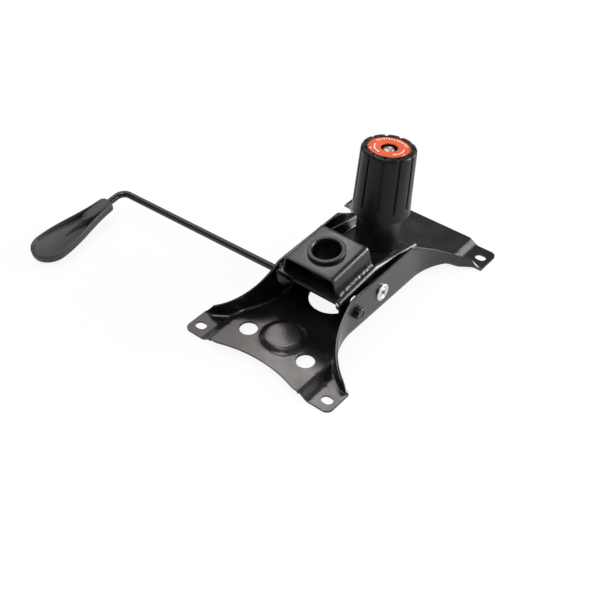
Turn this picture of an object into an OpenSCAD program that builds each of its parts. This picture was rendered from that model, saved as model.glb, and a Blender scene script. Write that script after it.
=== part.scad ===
// Office chair tilt mechanism, lying on its seat face as it lies on a bench.
// Origin: centre of the seat bolt pattern on the seat face. +Z points away from the seat,
// +Y towards the tension knob at the chair's front, and the lever reaches out along -X.

/* [Seat plate] */
// Distance between the seat bolt slots across the chair
bolt_span_x = 155; // [145:1:170]
// Distance between the seat bolt slots front to back
bolt_span_y = 260; // [250:1:290]
// Width of each seat bolt slot
slot_w = 9.5; // [6:0.5:10]
// End to end length of each seat bolt slot
slot_l = 12; // [10.5:0.5:14]
// Thickness of the seat plate's sheet
plate_t = 2; // [1.5:0.25:2.5]
// Height of the pan's top above the seat
pan_h = 8; // [7:0.5:10]
// Half width of the raised pan
pan_half = 55; // [52:1:58]
// Run of the step from the pan down to each bolt tab
step_run = 9; // [7:0.5:11]
// Bolt slot to the tab's side edge
tab_side = 11; // [9:0.5:14]
// Bolt slot row to the plate's rear edge
rear_margin = 12.5; // [10:0.5:18]
// Bolt slot row to the plate's front edge
front_margin = 15; // [10:0.5:18]
// Corner radius of the bolt tabs
tab_corner_r = 7; // [4:0.5:9]
// Depth of the hollow in the rear edge
rear_dip = 8.5; // [5:0.5:12]
// Half width of the hollow in the rear edge
rear_dip_half = 47; // [40:1:52]
// Height of the side walls at their front crest
wall_front_h = 52; // [46:0.5:54]
// Height of the side walls at their rear crest
wall_rear_h = 49.5; // [46:0.5:54]
// Radius of the side walls' flare
flare_r = 66; // [60:1:72]
// Bolt slot row to the start of the flare
flare_inset = 78; // [74:1:84]
// Outer radius of the bend between pan and wall
wall_bend_r = 4; // [3:0.5:5]
// Front crest of the side walls, from the origin
wall_crest_front = 44; // [40:1:52]
// Rear crest of the side walls, from the origin
wall_crest_rear = 51; // [44:1:54]
// Height of the side walls at the front tabs
wall_end_front = 8; // [4:0.5:12]
// Height of the side walls at the rear tabs
wall_end_rear = 10; // [6:0.5:16]
// Diameter of the column hole in the pan
column_hole_d = 47; // [44:1:54]
// Column hole's centre behind the origin
column_hole_back = 23; // [20:1:28]
// Diameter of the two lightening holes
light_hole_d = 18; // [12:1:22]
// Half distance between the two lightening holes
light_hole_half = 35; // [33:1:38]
// Rear bolt row to the lightening holes
light_hole_inset = 21.5; // [18:0.5:25]
// Base diameter of the raised rear boss
boss_d = 47; // [40:1:50]
// Top diameter of the raised rear boss
boss_top_d = 36; // [30:1:38]
// Height of the raised rear boss
boss_rise = 4.5; // [3:0.5:6]
// Rear bolt row to the raised boss
boss_inset = 32; // [30:1:36]
// Height of the front dome that the tension bolt hooks under
dome_rise = 12; // [10:0.5:14]
// Base diameter of the front dome
dome_d = 60; // [56:1:66]
// Top diameter of the front dome
dome_top_d = 40; // [38:1:44]

/* [Tilt pivot] */
// Pivot's distance behind the origin
pivot_back = 5.5; // [3:0.5:8]
// Pivot's height above the seat
pivot_z = 29; // [27:0.5:31]
// Diameter of the pivot axle
axle_d = 12; // [10:0.5:13]
// Diameter of the axle's riveted heads
axle_head_d = 18; // [16:0.5:22]
// Thickness of the axle's riveted heads
axle_head_t = 2.4; // [1.8:0.1:3]
// Diameter of the hollow in the axle's riveted ends
axle_hollow_d = 5.5; // [4:0.5:7]
// Depth of the hollow in the axle's riveted ends
axle_hollow_depth = 1.6; // [0.8:0.1:4]
// Outer diameter of the ring rolled into the axle's heads
axle_ring_d = 11; // [10:0.5:14]
// Width of the ring rolled into the axle's heads
axle_ring_w = 1.5; // [0.5:0.1:1.5]
// Outer diameter of the pivot tube between the bracket's flanges
pivot_tube_d = 18; // [16:0.5:20]
// Outer diameter of the nylon pivot washers
pivot_washer_d = 25; // [20:1:28]
// Thickness of the nylon pivot washers
pivot_washer_t = 4.7; // [2:0.1:6]
// Travel of the tilt from upright to fully reclined, in degrees
tilt_range = 12; // [8:1:12]

/* [Tilt bracket] */
// Bracket's edge beyond the socket box's foot, on each side
bracket_margin = 6; // [5:0.25:8]
// Thickness of the bracket's sheet
bracket_t = 2; // [1.5:0.25:2.5]
// Outer radius of the bracket's bends
bracket_bend_r = 5; // [3.5:0.5:6]
// Height of the bracket's crest above the pivot
crest_rise = 27.1; // [26:0.5:30]
// Bracket's crest in front of the pivot
crest_ahead = 1; // [0:0.5:3]
// Length of the rear web
web_l = 58.3; // [57:0.5:62]
// Slope of the rear web, in degrees
web_slope = 6; // [4:0.5:7]
// Slope of the front rims, in degrees
rim_slope = 11.8; // [10:0.2:13]
// Length of the front rims
rim_l = 71; // [68:1:76]
// Width of the rims beside the pocket
rim_w = 6; // [5.5:0.25:8]
// Start of the pocket's floor in front of the crest
pocket_start = 13; // [10:1:15]
// Depth of the flanges below the pivot
flange_drop = 10.5; // [10:0.5:12]
// Rise of the flanges' lower edge at the rear
flange_rear_rise = 17; // [12:1:20]
// Length of the slope at the flanges' rear
flange_rear_run = 11; // [8:1:12]
// Rise of the flanges' lower edge at the front
flange_front_rise = 13; // [10:1:16]

/* [Gas lift socket] */
// Bore of the gas lift socket
socket_bore = 28; // [26:0.5:29]
// Outer diameter of the gas lift socket
socket_d = 37; // [34:0.5:38]
// Length of the socket tube
socket_l = 31; // [28:0.5:32]
// Socket tube standing above the box
socket_proud = 3.5; // [2:0.5:8]
// Socket axis behind the bracket's crest
socket_back = 27.2; // [26:0.2:28.5]
// Width of the socket box across its top
box_top_w = 57; // [54:1:58]
// Width of the socket box at its foot
box_foot_w = 66; // [64:1:67]
// Height of the socket box
box_h = 20; // [17:0.5:21]
// Length of the socket box
box_l = 55; // [50:1:56]
// Thickness of the socket box's sheet
box_t = 2.5; // [2:0.25:3]
// Outer radius of the socket box's bends
box_bend_r = 5; // [4:0.5:7]
// Leg of the weld fillets up the socket box
weld_leg = 2.5; // [1.5:0.25:4]
// Leg of the weld fillets along the web
weld_toe = 1; // [0.5:0.25:1.5]

/* [Tension knob] */
// Lean of the knob's axis towards the front, in degrees
knob_lean = 6.5; // [5:0.5:8]
// Spring cup's foot in front of the bracket's crest
cup_ahead = 53.5; // [52:0.5:55]
// Spring cup's foot below the bracket's crest
cup_below = 20.1; // [19:0.5:21]
// Outer diameter of the spring cup
cup_d = 45.4; // [43:0.2:46]
// Height of the spring cup
cup_h = 60; // [56:1:62]
// Wall of the spring cup
cup_wall = 2; // [1.5:0.25:2.25]
// Diameter of the knob at its skirt
knob_d = 58.5; // [56:0.5:62]
// Diameter of the knob below its shoulder
knob_top_d = 54.5; // [53:0.5:56]
// Gap under the knob's skirt
knob_lift = 36.5; // [34:0.5:40]
// Height of the knob
knob_h = 70; // [66:1:72]
// Radius of the knob's shoulder
knob_shoulder_r = 3.5; // [3:0.5:6]
// Thickness of the knob's crown
knob_crown = 20; // [19:0.5:22]
// Number of grip grooves
groove_count = 11; // [8:1:16]
// Width of each grip groove
groove_w = 2.6; // [1.6:0.2:3.2]
// Depth of each grip groove
groove_depth = 1.6; // [0.8:0.2:2]
// Knob skirt left plain below the grooves
groove_stop = 12; // [10:1:18]
// Diameter of the knob's label
label_d = 42; // [38:1:43]
// Thickness of the knob's label
label_t = 1; // [0.6:0.1:1.4]
// Depth of the label below the knob's rim
label_sink = 1; // [0.2:0.1:1.5]
// Diameter of the recess in the knob's middle
recess_d = 17; // [16.5:0.5:19]
// Depth of the recess in the knob's middle
recess_depth = 6; // [5:0.5:7]
// Diameter of the tension bolt
bolt_d = 12; // [10:0.5:12]
// Width across flats of the tension nut and bolt head
nut_af = 18; // [17:0.5:19]
// Height of the tension nut and bolt head
nut_h = 8; // [6:0.5:8.5]
// Wire diameter of the tension spring
spring_wire = 5.5; // [4:0.5:5.5]
// Outer diameter of the tension spring
spring_d = 38; // [36:0.5:40]
// Turns of the tension spring
spring_turns = 7; // [5:0.5:8]
// Thickness of the spring's washers
seat_t = 3; // [2:0.5:3.5]

/* [Lever] */
// Lever axis behind the origin
lever_back = 43.5; // [42:0.5:45]
// Lever axis above the seat
lever_z = 28.7; // [27:0.1:30]
// Diameter of the lever rod
rod_d = 7.5; // [7:0.5:9]
// Reach of the lever from the origin to its short leg
lever_reach = 275; // [220:1:320]
// Where the rod starts to droop, from the origin
droop_start = 58; // [55:1:80]
// Droop of the outer rod, in degrees
droop = 1.7; // [0.5:0.1:2.5]
// Bend radius of the rod's outer end
rod_bend_r = 10; // [8:1:16]
// Rod left bare between its bend and the handle
rod_neck = 12; // [6:0.5:20]
// Hang of the handle, in degrees
handle_hang = 6; // [0:0.5:7]
// Length of the handle
handle_l = 104; // [85:1:115]
// Width of the handle at its root
handle_root_w = 18.5; // [16:0.5:22]
// Width of the handle near its tip
handle_tip_w = 42; // [34:1:46]
// Thickness of the handle's rim
handle_t = 10; // [8:0.5:11]
// Wall of the handle's shell
handle_wall = 2.4; // [2:0.2:3]
// Length of rod held in the handle
rod_grip = 45; // [35:1:50]
// Length of the handle's rib
rib_l = 66; // [55:1:75]
// Cover of the handle's rib over the rod
rib_cover = 2; // [1.5:0.25:3]
// Diameter of the lever's wall bushes
bush_d = 13; // [12.5:0.5:16]
// Bush standing proud of the right wall
bush_proud = 4.6; // [3:0.2:6]
// Diameter of the lock collar
lock_d = 14; // [13:0.5:14]
// Length of the lock collar
lock_l = 7; // [6:0.5:8]
// Travel of the lever from unlocked to locked
lock_travel = 8; // [7:0.5:8]
// Width of the tongue that presses the gas lift's button
tongue_w = 20; // [16:1:24]
// Reach of the tongue from the lever axis
tongue_l = 20; // [16:0.5:22]
// Thickness of the tongue
tongue_t = 4; // [3:0.5:5]

/* [Fits] */
// Running clearance on each radius
run_gap = 0.05; // [0.02:0.01:0.1]
// Free gap between parts that pass each other
free_gap = 0.3; // [0.2:0.05:0.5]

/* [Hidden] */
$fn = 64;
// Small overlap that fuses the sheets of one pressing
fuse = 0.02;
// Reach of a cutter beyond the face that it opens
over = 1;
steel_black = "#1d1d1f";
plastic_black = "#2a2a2c";
zinc = "#b9bcc0";

// Seat plate
tab_x = bolt_span_x / 2 + tab_side;
rear_y = -bolt_span_y / 2 - rear_margin;
front_y = bolt_span_y / 2 + front_margin;
wall_h = max(wall_front_h, wall_rear_h);
bracket_w = box_foot_w + 2 * bracket_margin;
bracket_half = bracket_w / 2;
wall_in = bracket_half + pivot_washer_t + free_gap;
wall_out = wall_in + plate_t;
flare_y = bolt_span_y / 2 - flare_inset;
flare_x = wall_out + flare_r;
flare_end_y = flare_y + sqrt(pow(flare_r, 2) - pow(flare_x - tab_x, 2));
step_angle = atan2(pan_h - plate_t, step_run);
step_shift = plate_t * tan(step_angle / 2);
dip_r = (pow(rear_dip_half, 2) + pow(rear_dip, 2)) / (2 * rear_dip);

// Tilt bracket
pivot_y = -pivot_back;
pocket_half = bracket_half - rim_w;
crest_y = pivot_y + crest_ahead;
crest_z = pivot_z + crest_rise;
mitre = (web_slope - rim_slope) / 2;
fold_half = (web_slope + rim_slope) / 2;

// Knob axis, in the plane x = 0
cup_y = crest_y + cup_ahead;
cup_z = crest_z - cup_below;
dome_top = pan_h + dome_rise;
dome_under = dome_top - plate_t;
// Axis height of the dome's underside below the cup's foot, upright and reclined
reach_upright = (cup_z - dome_under) / cos(knob_lean);
anchor_y = cup_y - reach_upright * sin(knob_lean);
reclined_y = pivot_y + (cup_y - pivot_y) * cos(tilt_range) - (cup_z - pivot_z) * sin(tilt_range);
reclined_z = pivot_z + (cup_y - pivot_y) * sin(tilt_range) + (cup_z - pivot_z) * cos(tilt_range);
reach_reclined = (reclined_z - dome_under) / cos(knob_lean - tilt_range);
anchor_reclined_y = reclined_y - reach_reclined * sin(knob_lean - tilt_range);
dome_y = (anchor_y + anchor_reclined_y) / 2;
bolt_drift = abs(anchor_reclined_y - anchor_y);
// Play of the tension bolt in the dome's slot, and through the bracket and the cup
bolt_gap = 0.7;
bolt_pass = 1;
bolt_pass_d = bolt_d + 2 * bolt_pass;
knob_top = knob_lift + knob_h;
knob_ceiling = knob_top - knob_crown;
recess_floor = knob_top - recess_depth;
label_seat = knob_top - label_sink - label_t;
washer_top = knob_ceiling - free_gap;
spring_top = washer_top - seat_t;
cup_floor = 3;
spring_foot = cup_floor + seat_t;
rocker_t = 4;
rocker_r = 30;
// Rim of the rocker washer round the bolt's head
rocker_rim = 3;
rocker_d = nut_af + 2 * rocker_rim;
// The rocker's crown stays clear of the dome as it leans over
rocker_gap = 0.5;
rocker_top = -reach_upright - rocker_gap;

// Lever
lever_y = -lever_back;
rod_r = rod_d / 2;
// The rod's end lies a little inside the right bush
rod_sunk = 0.6;
rod_end = wall_out + bush_proud - rod_sunk;
bush_collar = 1;
neck_r = bush_d / 2 - bush_collar;
bush_flange_t = 2;
bush_groove_w = 0.8;
// The unlocked collar stands clear of the bracket's right flange
lock_gap = 5;
lock_rest = bracket_half - bracket_t - lock_gap - lock_l;
clip_t = 1;
clip_rim = 2;
clip_d = rod_d + 2 * clip_rim;
outer_rod_l = (lever_reach - droop_start - rod_bend_r) / cos(droop);
handle_low = -rod_r - handle_wall;
spoon_y = handle_tip_w / 2 - handle_l;
flank_steps = 12;
// The lever axis as the bracket sees it when fully reclined
lever_seen_y = pivot_y + (lever_y - pivot_y) * cos(tilt_range) + (lever_z - pivot_z) * sin(tilt_range);
lever_seen_z = pivot_z - (lever_y - pivot_y) * sin(tilt_range) + (lever_z - pivot_z) * cos(tilt_range);

// Extrudes a YZ outline along X
module along_x(x0, x1) {
    translate([x0, 0, 0])
        rotate([90, 0, 90])
            linear_extrude(x1 - x0)
                children();
}

// Extrudes an XZ outline along Y
module along_y(y0, y1) {
    translate([0, y1, 0])
        rotate([90, 0, 0])
            linear_extrude(y1 - y0)
                children();
}

// A shaft along X
module shaft_x(x0, x1, r) {
    translate([x0, 0, 0])
        rotate([0, 90, 0])
            cylinder(h = x1 - x0, r = r);
}

module both_sides() {
    children();
    mirror([1, 0, 0])
        children();
}

module both_ends() {
    children();
    mirror([0, 1, 0])
        children();
}

// Local frame of the rear web: Y along the web, Z away from it, origin at the crest
module on_web() {
    translate([0, crest_y, crest_z])
        rotate([web_slope, 0, 0])
            children();
}

// Local frame of the knob: Z along its axis, origin at the spring cup's foot
module on_knob_axis() {
    translate([0, cup_y, cup_z])
        rotate([-knob_lean, 0, 0])
            children();
}

// Seat plate

// Plan of everything outside the walls; inset moves the edge into the channel
module wall_cut(inset) {
    both_sides() {
        translate([wall_out - inset, -flare_y])
            square([flare_x, 2 * flare_y]);
        both_ends()
            translate([flare_x, flare_y])
                circle(r = flare_r + inset, $fn = 128);
    }
}

module plate_plan(inset) {
    difference() {
        union() {
            translate([-tab_x, rear_y + tab_corner_r])
                square([2 * tab_x, front_y - rear_y - 2 * tab_corner_r]);
            translate([-tab_x + tab_corner_r, rear_y])
                square([2 * (tab_x - tab_corner_r), front_y - rear_y]);
            both_sides() {
                translate([tab_x - tab_corner_r, rear_y + tab_corner_r])
                    circle(r = tab_corner_r);
                translate([tab_x - tab_corner_r, front_y - tab_corner_r])
                    circle(r = tab_corner_r);
            }
        }
        wall_cut(inset);
        translate([0, rear_y + rear_dip - dip_r])
            circle(r = dip_r, $fn = 128);
    }
}

// XZ outline of the tabs, steps and pan, or of all the space above their underside
module plate_section(top) {
    under = [
        [tab_x, 0],
        [pan_half + step_run - step_shift, 0],
        [pan_half - step_shift, pan_h - plate_t],
        [-pan_half + step_shift, pan_h - plate_t],
        [-pan_half - step_run + step_shift, 0],
        [-tab_x, 0]
    ];
    sheet_top = [
        [-tab_x, plate_t],
        [-pan_half - step_run, plate_t],
        [-pan_half, pan_h],
        [pan_half, pan_h],
        [pan_half + step_run, plate_t],
        [tab_x, plate_t]
    ];
    polygon(concat(under, top ? [[-tab_x, wall_h], [tab_x, wall_h]] : sheet_top));
}

module plate_floor() {
    intersection() {
        along_y(rear_y, front_y)
            plate_section(false);
        linear_extrude(wall_h)
            plate_plan(wall_bend_r);
    }
    intersection() {
        along_y(rear_y, front_y)
            plate_section(false);
        linear_extrude(wall_h)
            intersection() {
                plate_plan(0);
                both_sides()
                    translate([pan_half - fuse, rear_y])
                        square([tab_x, front_y - rear_y]);
            }
    }
}

// Wall with its bend, as distance from the outer face against height
module bent_wall() {
    bend_z = pan_h - plate_t + wall_bend_r;
    translate([0, bend_z])
        square([plate_t, wall_h - bend_z]);
    translate([wall_bend_r, pan_h - plate_t])
        square([plate_t, plate_t]);
    intersection() {
        translate([wall_bend_r, bend_z])
            difference() {
                circle(r = wall_bend_r);
                circle(r = wall_bend_r - plate_t);
            }
        translate([0, pan_h - plate_t])
            square([wall_bend_r, wall_bend_r]);
    }
}

module plain_wall() {
    square([plate_t, wall_h]);
}

// One wall's flare, turned about the flare's centre
module flare() {
    translate([flare_x, flare_y, 0])
        rotate([0, 0, 90])
            rotate_extrude(angle = 90, $fn = 128)
                translate([flare_r, 0])
                    children();
}

module plate_walls() {
    side_view = [
        [-flare_end_y - plate_t, 0],
        [flare_end_y + plate_t, 0],
        [flare_end_y + plate_t, wall_end_front],
        [wall_crest_front, wall_front_h],
        [-wall_crest_rear, wall_rear_h],
        [-flare_end_y - plate_t, wall_end_rear]
    ];
    intersection() {
        both_sides() {
            along_y(-flare_y, flare_y)
                translate([wall_out, 0])
                    mirror([1, 0])
                        bent_wall();
            both_ends() {
                intersection() {
                    flare()
                        bent_wall();
                    cube([pan_half, front_y, wall_h]);
                }
                intersection() {
                    flare()
                        plain_wall();
                    translate([pan_half - fuse, 0, 0])
                        cube([tab_x - pan_half + fuse, front_y, wall_h]);
                    along_y(0, front_y)
                        plate_section(true);
                }
            }
        }
        along_x(-tab_x, tab_x)
            polygon(side_view);
    }
}

module seat_plate() {
    boss_y = -bolt_span_y / 2 + boss_inset;
    color(steel_black)
        difference() {
            union() {
                plate_floor();
                plate_walls();
                translate([0, boss_y, pan_h - fuse])
                    cylinder(h = boss_rise + fuse, d1 = boss_d, d2 = boss_top_d);
                translate([0, dome_y, pan_h - fuse])
                    cylinder(h = dome_rise + fuse, d1 = dome_d, d2 = dome_top_d);
            }
            translate([0, boss_y, pan_h - plate_t - fuse])
                cylinder(h = boss_rise + fuse, d1 = boss_d, d2 = boss_top_d);
            translate([0, dome_y, pan_h - plate_t - fuse])
                cylinder(h = dome_rise + fuse, d1 = dome_d, d2 = dome_top_d);
            both_sides()
                both_ends()
                    translate([bolt_span_x / 2, bolt_span_y / 2, -over])
                        slot_cutter(slot_w / 2, slot_l - slot_w, plate_t + 2 * over);
            both_sides()
                translate([light_hole_half, -bolt_span_y / 2 + light_hole_inset, 0])
                    cylinder(h = 2 * pan_h, d = light_hole_d);
            translate([0, -column_hole_back, 0])
                cylinder(h = 2 * pan_h, d = column_hole_d);
            translate([0, dome_y, dome_under - over])
                rotate([0, 0, 90])
                    slot_cutter(bolt_d / 2 + bolt_gap, bolt_drift, plate_t + 2 * over);
            translate([0, pivot_y, pivot_z])
                shaft_x(-flare_x, flare_x, axle_d / 2);
            translate([0, lever_y, lever_z])
                shaft_x(-flare_x, flare_x, neck_r);
        }
}

// A slot with round ends along X, centred on the origin
module slot_cutter(r, straight, h) {
    translate([-straight / 2, -r, 0])
        cube([straight, 2 * r, h]);
    for (side = [-1, 1])
        translate([side * straight / 2, 0, 0])
            cylinder(h = h, r = r);
}

// Tilt pivot

module pivot_axle() {
    face = wall_out + axle_head_t;
    ring_depth = axle_head_t / 4;
    color(zinc)
        translate([0, pivot_y, pivot_z])
            difference() {
                union() {
                    shaft_x(-wall_out, wall_out, axle_d / 2);
                    both_sides()
                        shaft_x(wall_out, face, axle_head_d / 2);
                }
                // Rolled rivet: a ring groove round a hollow middle
                both_sides() {
                    shaft_x(face - axle_hollow_depth, flare_x, axle_hollow_d / 2);
                    difference() {
                        shaft_x(face - ring_depth, flare_x, axle_ring_d / 2);
                        shaft_x(0, flare_x, axle_ring_d / 2 - axle_ring_w);
                    }
                }
            }
}

module pivot_tube() {
    color(steel_black)
        translate([0, pivot_y, pivot_z])
            difference() {
                shaft_x(-bracket_half, bracket_half, pivot_tube_d / 2);
                shaft_x(-bracket_w, bracket_w, axle_d / 2 + run_gap);
            }
}

module pivot_washers() {
    color(plastic_black)
        translate([0, pivot_y, pivot_z])
            both_sides()
                difference() {
                    shaft_x(bracket_half, bracket_half + pivot_washer_t, pivot_washer_d / 2);
                    shaft_x(0, flare_x, axle_d / 2 + run_gap);
                }
}

// Tilt bracket

// Channel section with rounded top corners: top at zero, open below
module channel(half, r, depth) {
    translate([-half, -depth])
        square([2 * half, depth - r]);
    translate([-half + r, -depth])
        square([2 * (half - r), depth]);
    for (side = [-1, 1])
        translate([side * (half - r), -r])
            circle(r = r);
}

// One arm of the folded channel, running back from the crest and down by half the fold
module crest_arm(l) {
    depth = crest_rise + flange_drop + rim_l * sin(rim_slope);
    intersection() {
        rotate([fold_half, 0, 0])
            along_y(-l, l)
                difference() {
                    channel(bracket_half, bracket_bend_r, depth);
                    translate([0, -bracket_t])
                        channel(bracket_half - bracket_t, bracket_bend_r - bracket_t, depth);
                }
        translate([-bracket_w, -2 * l, -2 * l])
            cube([2 * bracket_w, 2 * l, 4 * l]);
    }
}

// Rear web and front rims, mitred at the crest, with the pocket's opening between the rims
module bracket_channel() {
    translate([0, crest_y, crest_z])
        rotate([mitre, 0, 0]) {
            crest_arm(web_l);
            difference() {
                mirror([0, 1, 0])
                    crest_arm(rim_l);
                translate([-pocket_half, -over, -rim_l])
                    cube([2 * pocket_half, 2 * rim_l, 2 * rim_l]);
            }
        }
}

// Height of the pocket floor's top at a place along Y
function pocket_z(y) = cup_z + (cup_y - y) * tan(knob_lean);

// Height of the rims' top at a place along Y
function rim_z(y) = crest_z - (y - crest_y) * tan(rim_slope);

module bracket_pocket() {
    floor_y = crest_y + pocket_start;
    end_y = crest_y + rim_l * cos(rim_slope);
    drop = bracket_t / cos(knob_lean);
    // The back wall starts inside the web's sheet
    ledge = bracket_t / 4;
    back_wall = [
        [crest_y - 2 * bracket_t, crest_z - bracket_t - 2 * bracket_t * tan(web_slope)],
        [floor_y - bracket_t, pocket_z(floor_y - bracket_t) - drop],
        [floor_y + bracket_t, pocket_z(floor_y + bracket_t) - drop],
        [floor_y + bracket_t, pocket_z(floor_y + bracket_t)],
        [floor_y, pocket_z(floor_y)],
        [crest_y + ledge, crest_z - ledge],
        [crest_y - bracket_t, crest_z - ledge - bracket_t * tan(web_slope)]
    ];
    floor_line = [
        [floor_y, pocket_z(floor_y)],
        [floor_y, pocket_z(floor_y) - drop],
        [end_y, pocket_z(end_y) - drop],
        [end_y, pocket_z(end_y)]
    ];
    side_wall = [
        [crest_y, crest_z - bracket_t],
        [floor_y - bracket_t, pocket_z(floor_y) - drop],
        [end_y, pocket_z(end_y) - drop],
        [end_y, rim_z(end_y) - bracket_t / 2],
        [crest_y + bracket_t, rim_z(crest_y + bracket_t) - bracket_t / 2]
    ];
    wide = pocket_half + fuse;
    along_x(-wide, wide)
        polygon(back_wall);
    along_x(-wide, wide)
        polygon(floor_line);
    both_sides()
        along_x(pocket_half, pocket_half + bracket_t)
            polygon(side_wall);
}

module tilt_bracket() {
    rear_edge = crest_y - web_l * cos(web_slope);
    front_edge = crest_y + rim_l;
    low = pivot_z - flange_drop;
    flange_view = [
        [rear_edge - bracket_t, crest_z],
        [rear_edge - bracket_t, low + flange_rear_rise],
        [rear_edge - bracket_t + flange_rear_run, low],
        [pivot_y + pivot_tube_d, low],
        [front_edge, low + flange_front_rise],
        [front_edge, crest_z + bracket_bend_r],
        [rear_edge - bracket_t, crest_z + bracket_bend_r]
    ];
    color(steel_black)
        difference() {
            union() {
                intersection() {
                    bracket_channel();
                    along_x(-bracket_half, bracket_half)
                        polygon(flange_view);
                }
                bracket_pocket();
            }
            on_web()
                translate([0, -socket_back, -box_h])
                    cylinder(h = 2 * box_h, d = socket_d);
            on_knob_axis()
                translate([0, 0, -2 * bracket_t])
                    cylinder(h = 4 * bracket_t, d = bolt_pass_d);
            translate([0, pivot_y, pivot_z])
                shaft_x(-bracket_w, bracket_w, pivot_tube_d / 2);
            lever_slot(-bracket_half - over, 0, rod_r + 2 * free_gap);
            lever_slot(0, bracket_half + over, rod_r + 2 * free_gap);
            for (place = [[lever_y, lever_z], [lever_seen_y, lever_seen_z]])
                translate([0, place[0], place[1]])
                    shaft_x(0, bracket_half + over, lock_d / 2 + free_gap);
        }
}

// Path that the lever axis takes through a flange as the bracket tilts about the pivot
module lever_slot(x0, x1, r) {
    dy = lever_seen_y - lever_y;
    dz = lever_seen_z - lever_z;
    path = sqrt(dy * dy + dz * dz);
    for (place = [[lever_y, lever_z], [lever_seen_y, lever_seen_z]])
        translate([0, place[0], place[1]])
            shaft_x(x0, x1, r);
    translate([x0, lever_y, lever_z])
        rotate([atan2(dz, dy), 0, 0])
            translate([0, 0, -r])
                cube([x1 - x0, path, 2 * r]);
}

// Gas lift socket

// Flared channel: round corners tangent to its top and to its leaning sides
module flared_channel(inset) {
    lean = atan2((box_foot_w - box_top_w) / 2, box_h);
    r = box_bend_r - inset;
    top = box_h - inset;
    side_in = inset / cos(lean);
    corner = box_top_w / 2 - side_in + inset * tan(lean);
    foot = box_foot_w / 2 - side_in;
    tangent = r * tan((90 - lean) / 2);
    for (side = [-1, 1])
        translate([side * (corner - tangent), top - r])
            circle(r = r);
    polygon([
        [-foot, 0],
        [foot, 0],
        [corner + tangent * sin(lean), top - tangent * cos(lean)],
        [corner - tangent, top],
        [-corner + tangent, top],
        [-corner - tangent * sin(lean), top - tangent * cos(lean)]
    ]);
}

module socket_box() {
    color(steel_black)
        on_web()
            difference() {
                along_y(-box_l, 0)
                    difference() {
                        flared_channel(0);
                        flared_channel(box_t);
                    }
                translate([0, -socket_back, 0])
                    cylinder(h = 2 * box_h, d = socket_d);
            }
}

module socket_tube() {
    color(steel_black)
        on_web()
            translate([0, -socket_back, box_h + socket_proud - socket_l])
                difference() {
                    cylinder(h = socket_l, d = socket_d);
                    translate([0, 0, -over])
                        cylinder(h = socket_l + 2 * over, d = socket_bore);
                }
}

// Fillet welds along both feet of the box
module box_welds() {
    lean = atan2((box_foot_w - box_top_w) / 2, box_h);
    foot = box_foot_w / 2;
    weld_end = 2;
    color("#5a5a5c")
        on_web()
            both_sides()
                along_y(-box_l + weld_end, -weld_end)
                    polygon([
                        [foot, 0],
                        [foot + weld_toe, 0],
                        [foot - weld_leg * tan(lean), weld_leg]
                    ]);
}

// Tension knob

module spring_cup() {
    color("#202022")
        on_knob_axis()
            difference() {
                cylinder(h = cup_h, d = cup_d);
                translate([0, 0, cup_floor])
                    cylinder(h = cup_h, d = cup_d - 2 * cup_wall);
                translate([0, 0, -over])
                    cylinder(h = cup_h, d = bolt_pass_d);
            }
}

module lower_spring_seat() {
    color(zinc)
        on_knob_axis()
            translate([0, 0, cup_floor])
                difference() {
                    cylinder(h = seat_t, d = spring_d);
                    translate([0, 0, -over])
                        cylinder(h = seat_t + 2 * over, d = bolt_pass_d);
                }
}

// Closed and ground compression spring: the pitch is closed over the first and last turn
spring_r = (spring_d - spring_wire) / 2;
spring_l = spring_top - spring_foot;
spring_sides = 6;
spring_rings = 14;
spring_pitch = (spring_l - 3 * spring_wire) / (spring_turns - 2);

// Height of the wire's middle after a number of turns
function spring_rise(turn) =
    spring_wire / 2
    + spring_wire * 1.02 * min(turn, 1)
    + spring_pitch * max(0, min(turn, spring_turns - 1) - 1)
    + spring_wire * 0.98 * max(0, turn - spring_turns + 1);

function spring_point(ring, side) =
    let (
        turn = ring / spring_rings,
        angle = 360 * turn,
        around = 360 * side / spring_sides,
        out = spring_r + spring_wire / 2 * cos(around)
    )
    [out * cos(angle), out * sin(angle), spring_rise(turn) + spring_wire / 2 * sin(around)];

module spring_coil() {
    rings = round(spring_turns * spring_rings);
    points = [
        for (ring = [0:rings])
            for (side = [0:spring_sides - 1])
                spring_point(ring, side)
    ];
    skin = [
        for (ring = [0:rings - 1])
            for (side = [0:spring_sides - 1])
                let (
                    next = (side + 1) % spring_sides,
                    here = ring * spring_sides,
                    there = here + spring_sides
                )
                each [
                    [here + side, there + side, there + next],
                    [here + side, there + next, here + next]
                ]
    ];
    caps = [
        [for (side = [0:spring_sides - 1]) side],
        [for (side = [0:spring_sides - 1]) rings * spring_sides + spring_sides - 1 - side]
    ];
    polyhedron(points, concat(skin, caps));
}

module tension_spring() {
    color("#3a3a3c")
        on_knob_axis()
            translate([0, 0, spring_foot])
                spring_coil();
}

module tension_bolt() {
    bolt_end = 2;
    bolt_top = recess_floor + bolt_end;
    chamfer = 1;
    head_top = rocker_top - rocker_t;
    color(zinc)
        on_knob_axis() {
            rotate_extrude()
                polygon([
                    [0, head_top - nut_h / 2],
                    [bolt_d / 2, head_top - nut_h / 2],
                    [bolt_d / 2, bolt_top - chamfer],
                    [bolt_d / 2 - chamfer, bolt_top],
                    [0, bolt_top]
                ]);
            translate([0, 0, head_top - nut_h])
                cylinder(h = nut_h, d = nut_af / cos(30), $fn = 6);
        }
}

// Domed washer that rocks under the dome's slot
module rocker_washer() {
    color(zinc)
        on_knob_axis()
            difference() {
                intersection() {
                    translate([0, 0, rocker_top - rocker_r])
                        sphere(r = rocker_r);
                    translate([0, 0, rocker_top - rocker_t])
                        cylinder(h = 2 * rocker_t, d = rocker_d);
                }
                translate([0, 0, rocker_top - 2 * rocker_t])
                    cylinder(h = 4 * rocker_t, d = bolt_d);
            }
}

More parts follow.
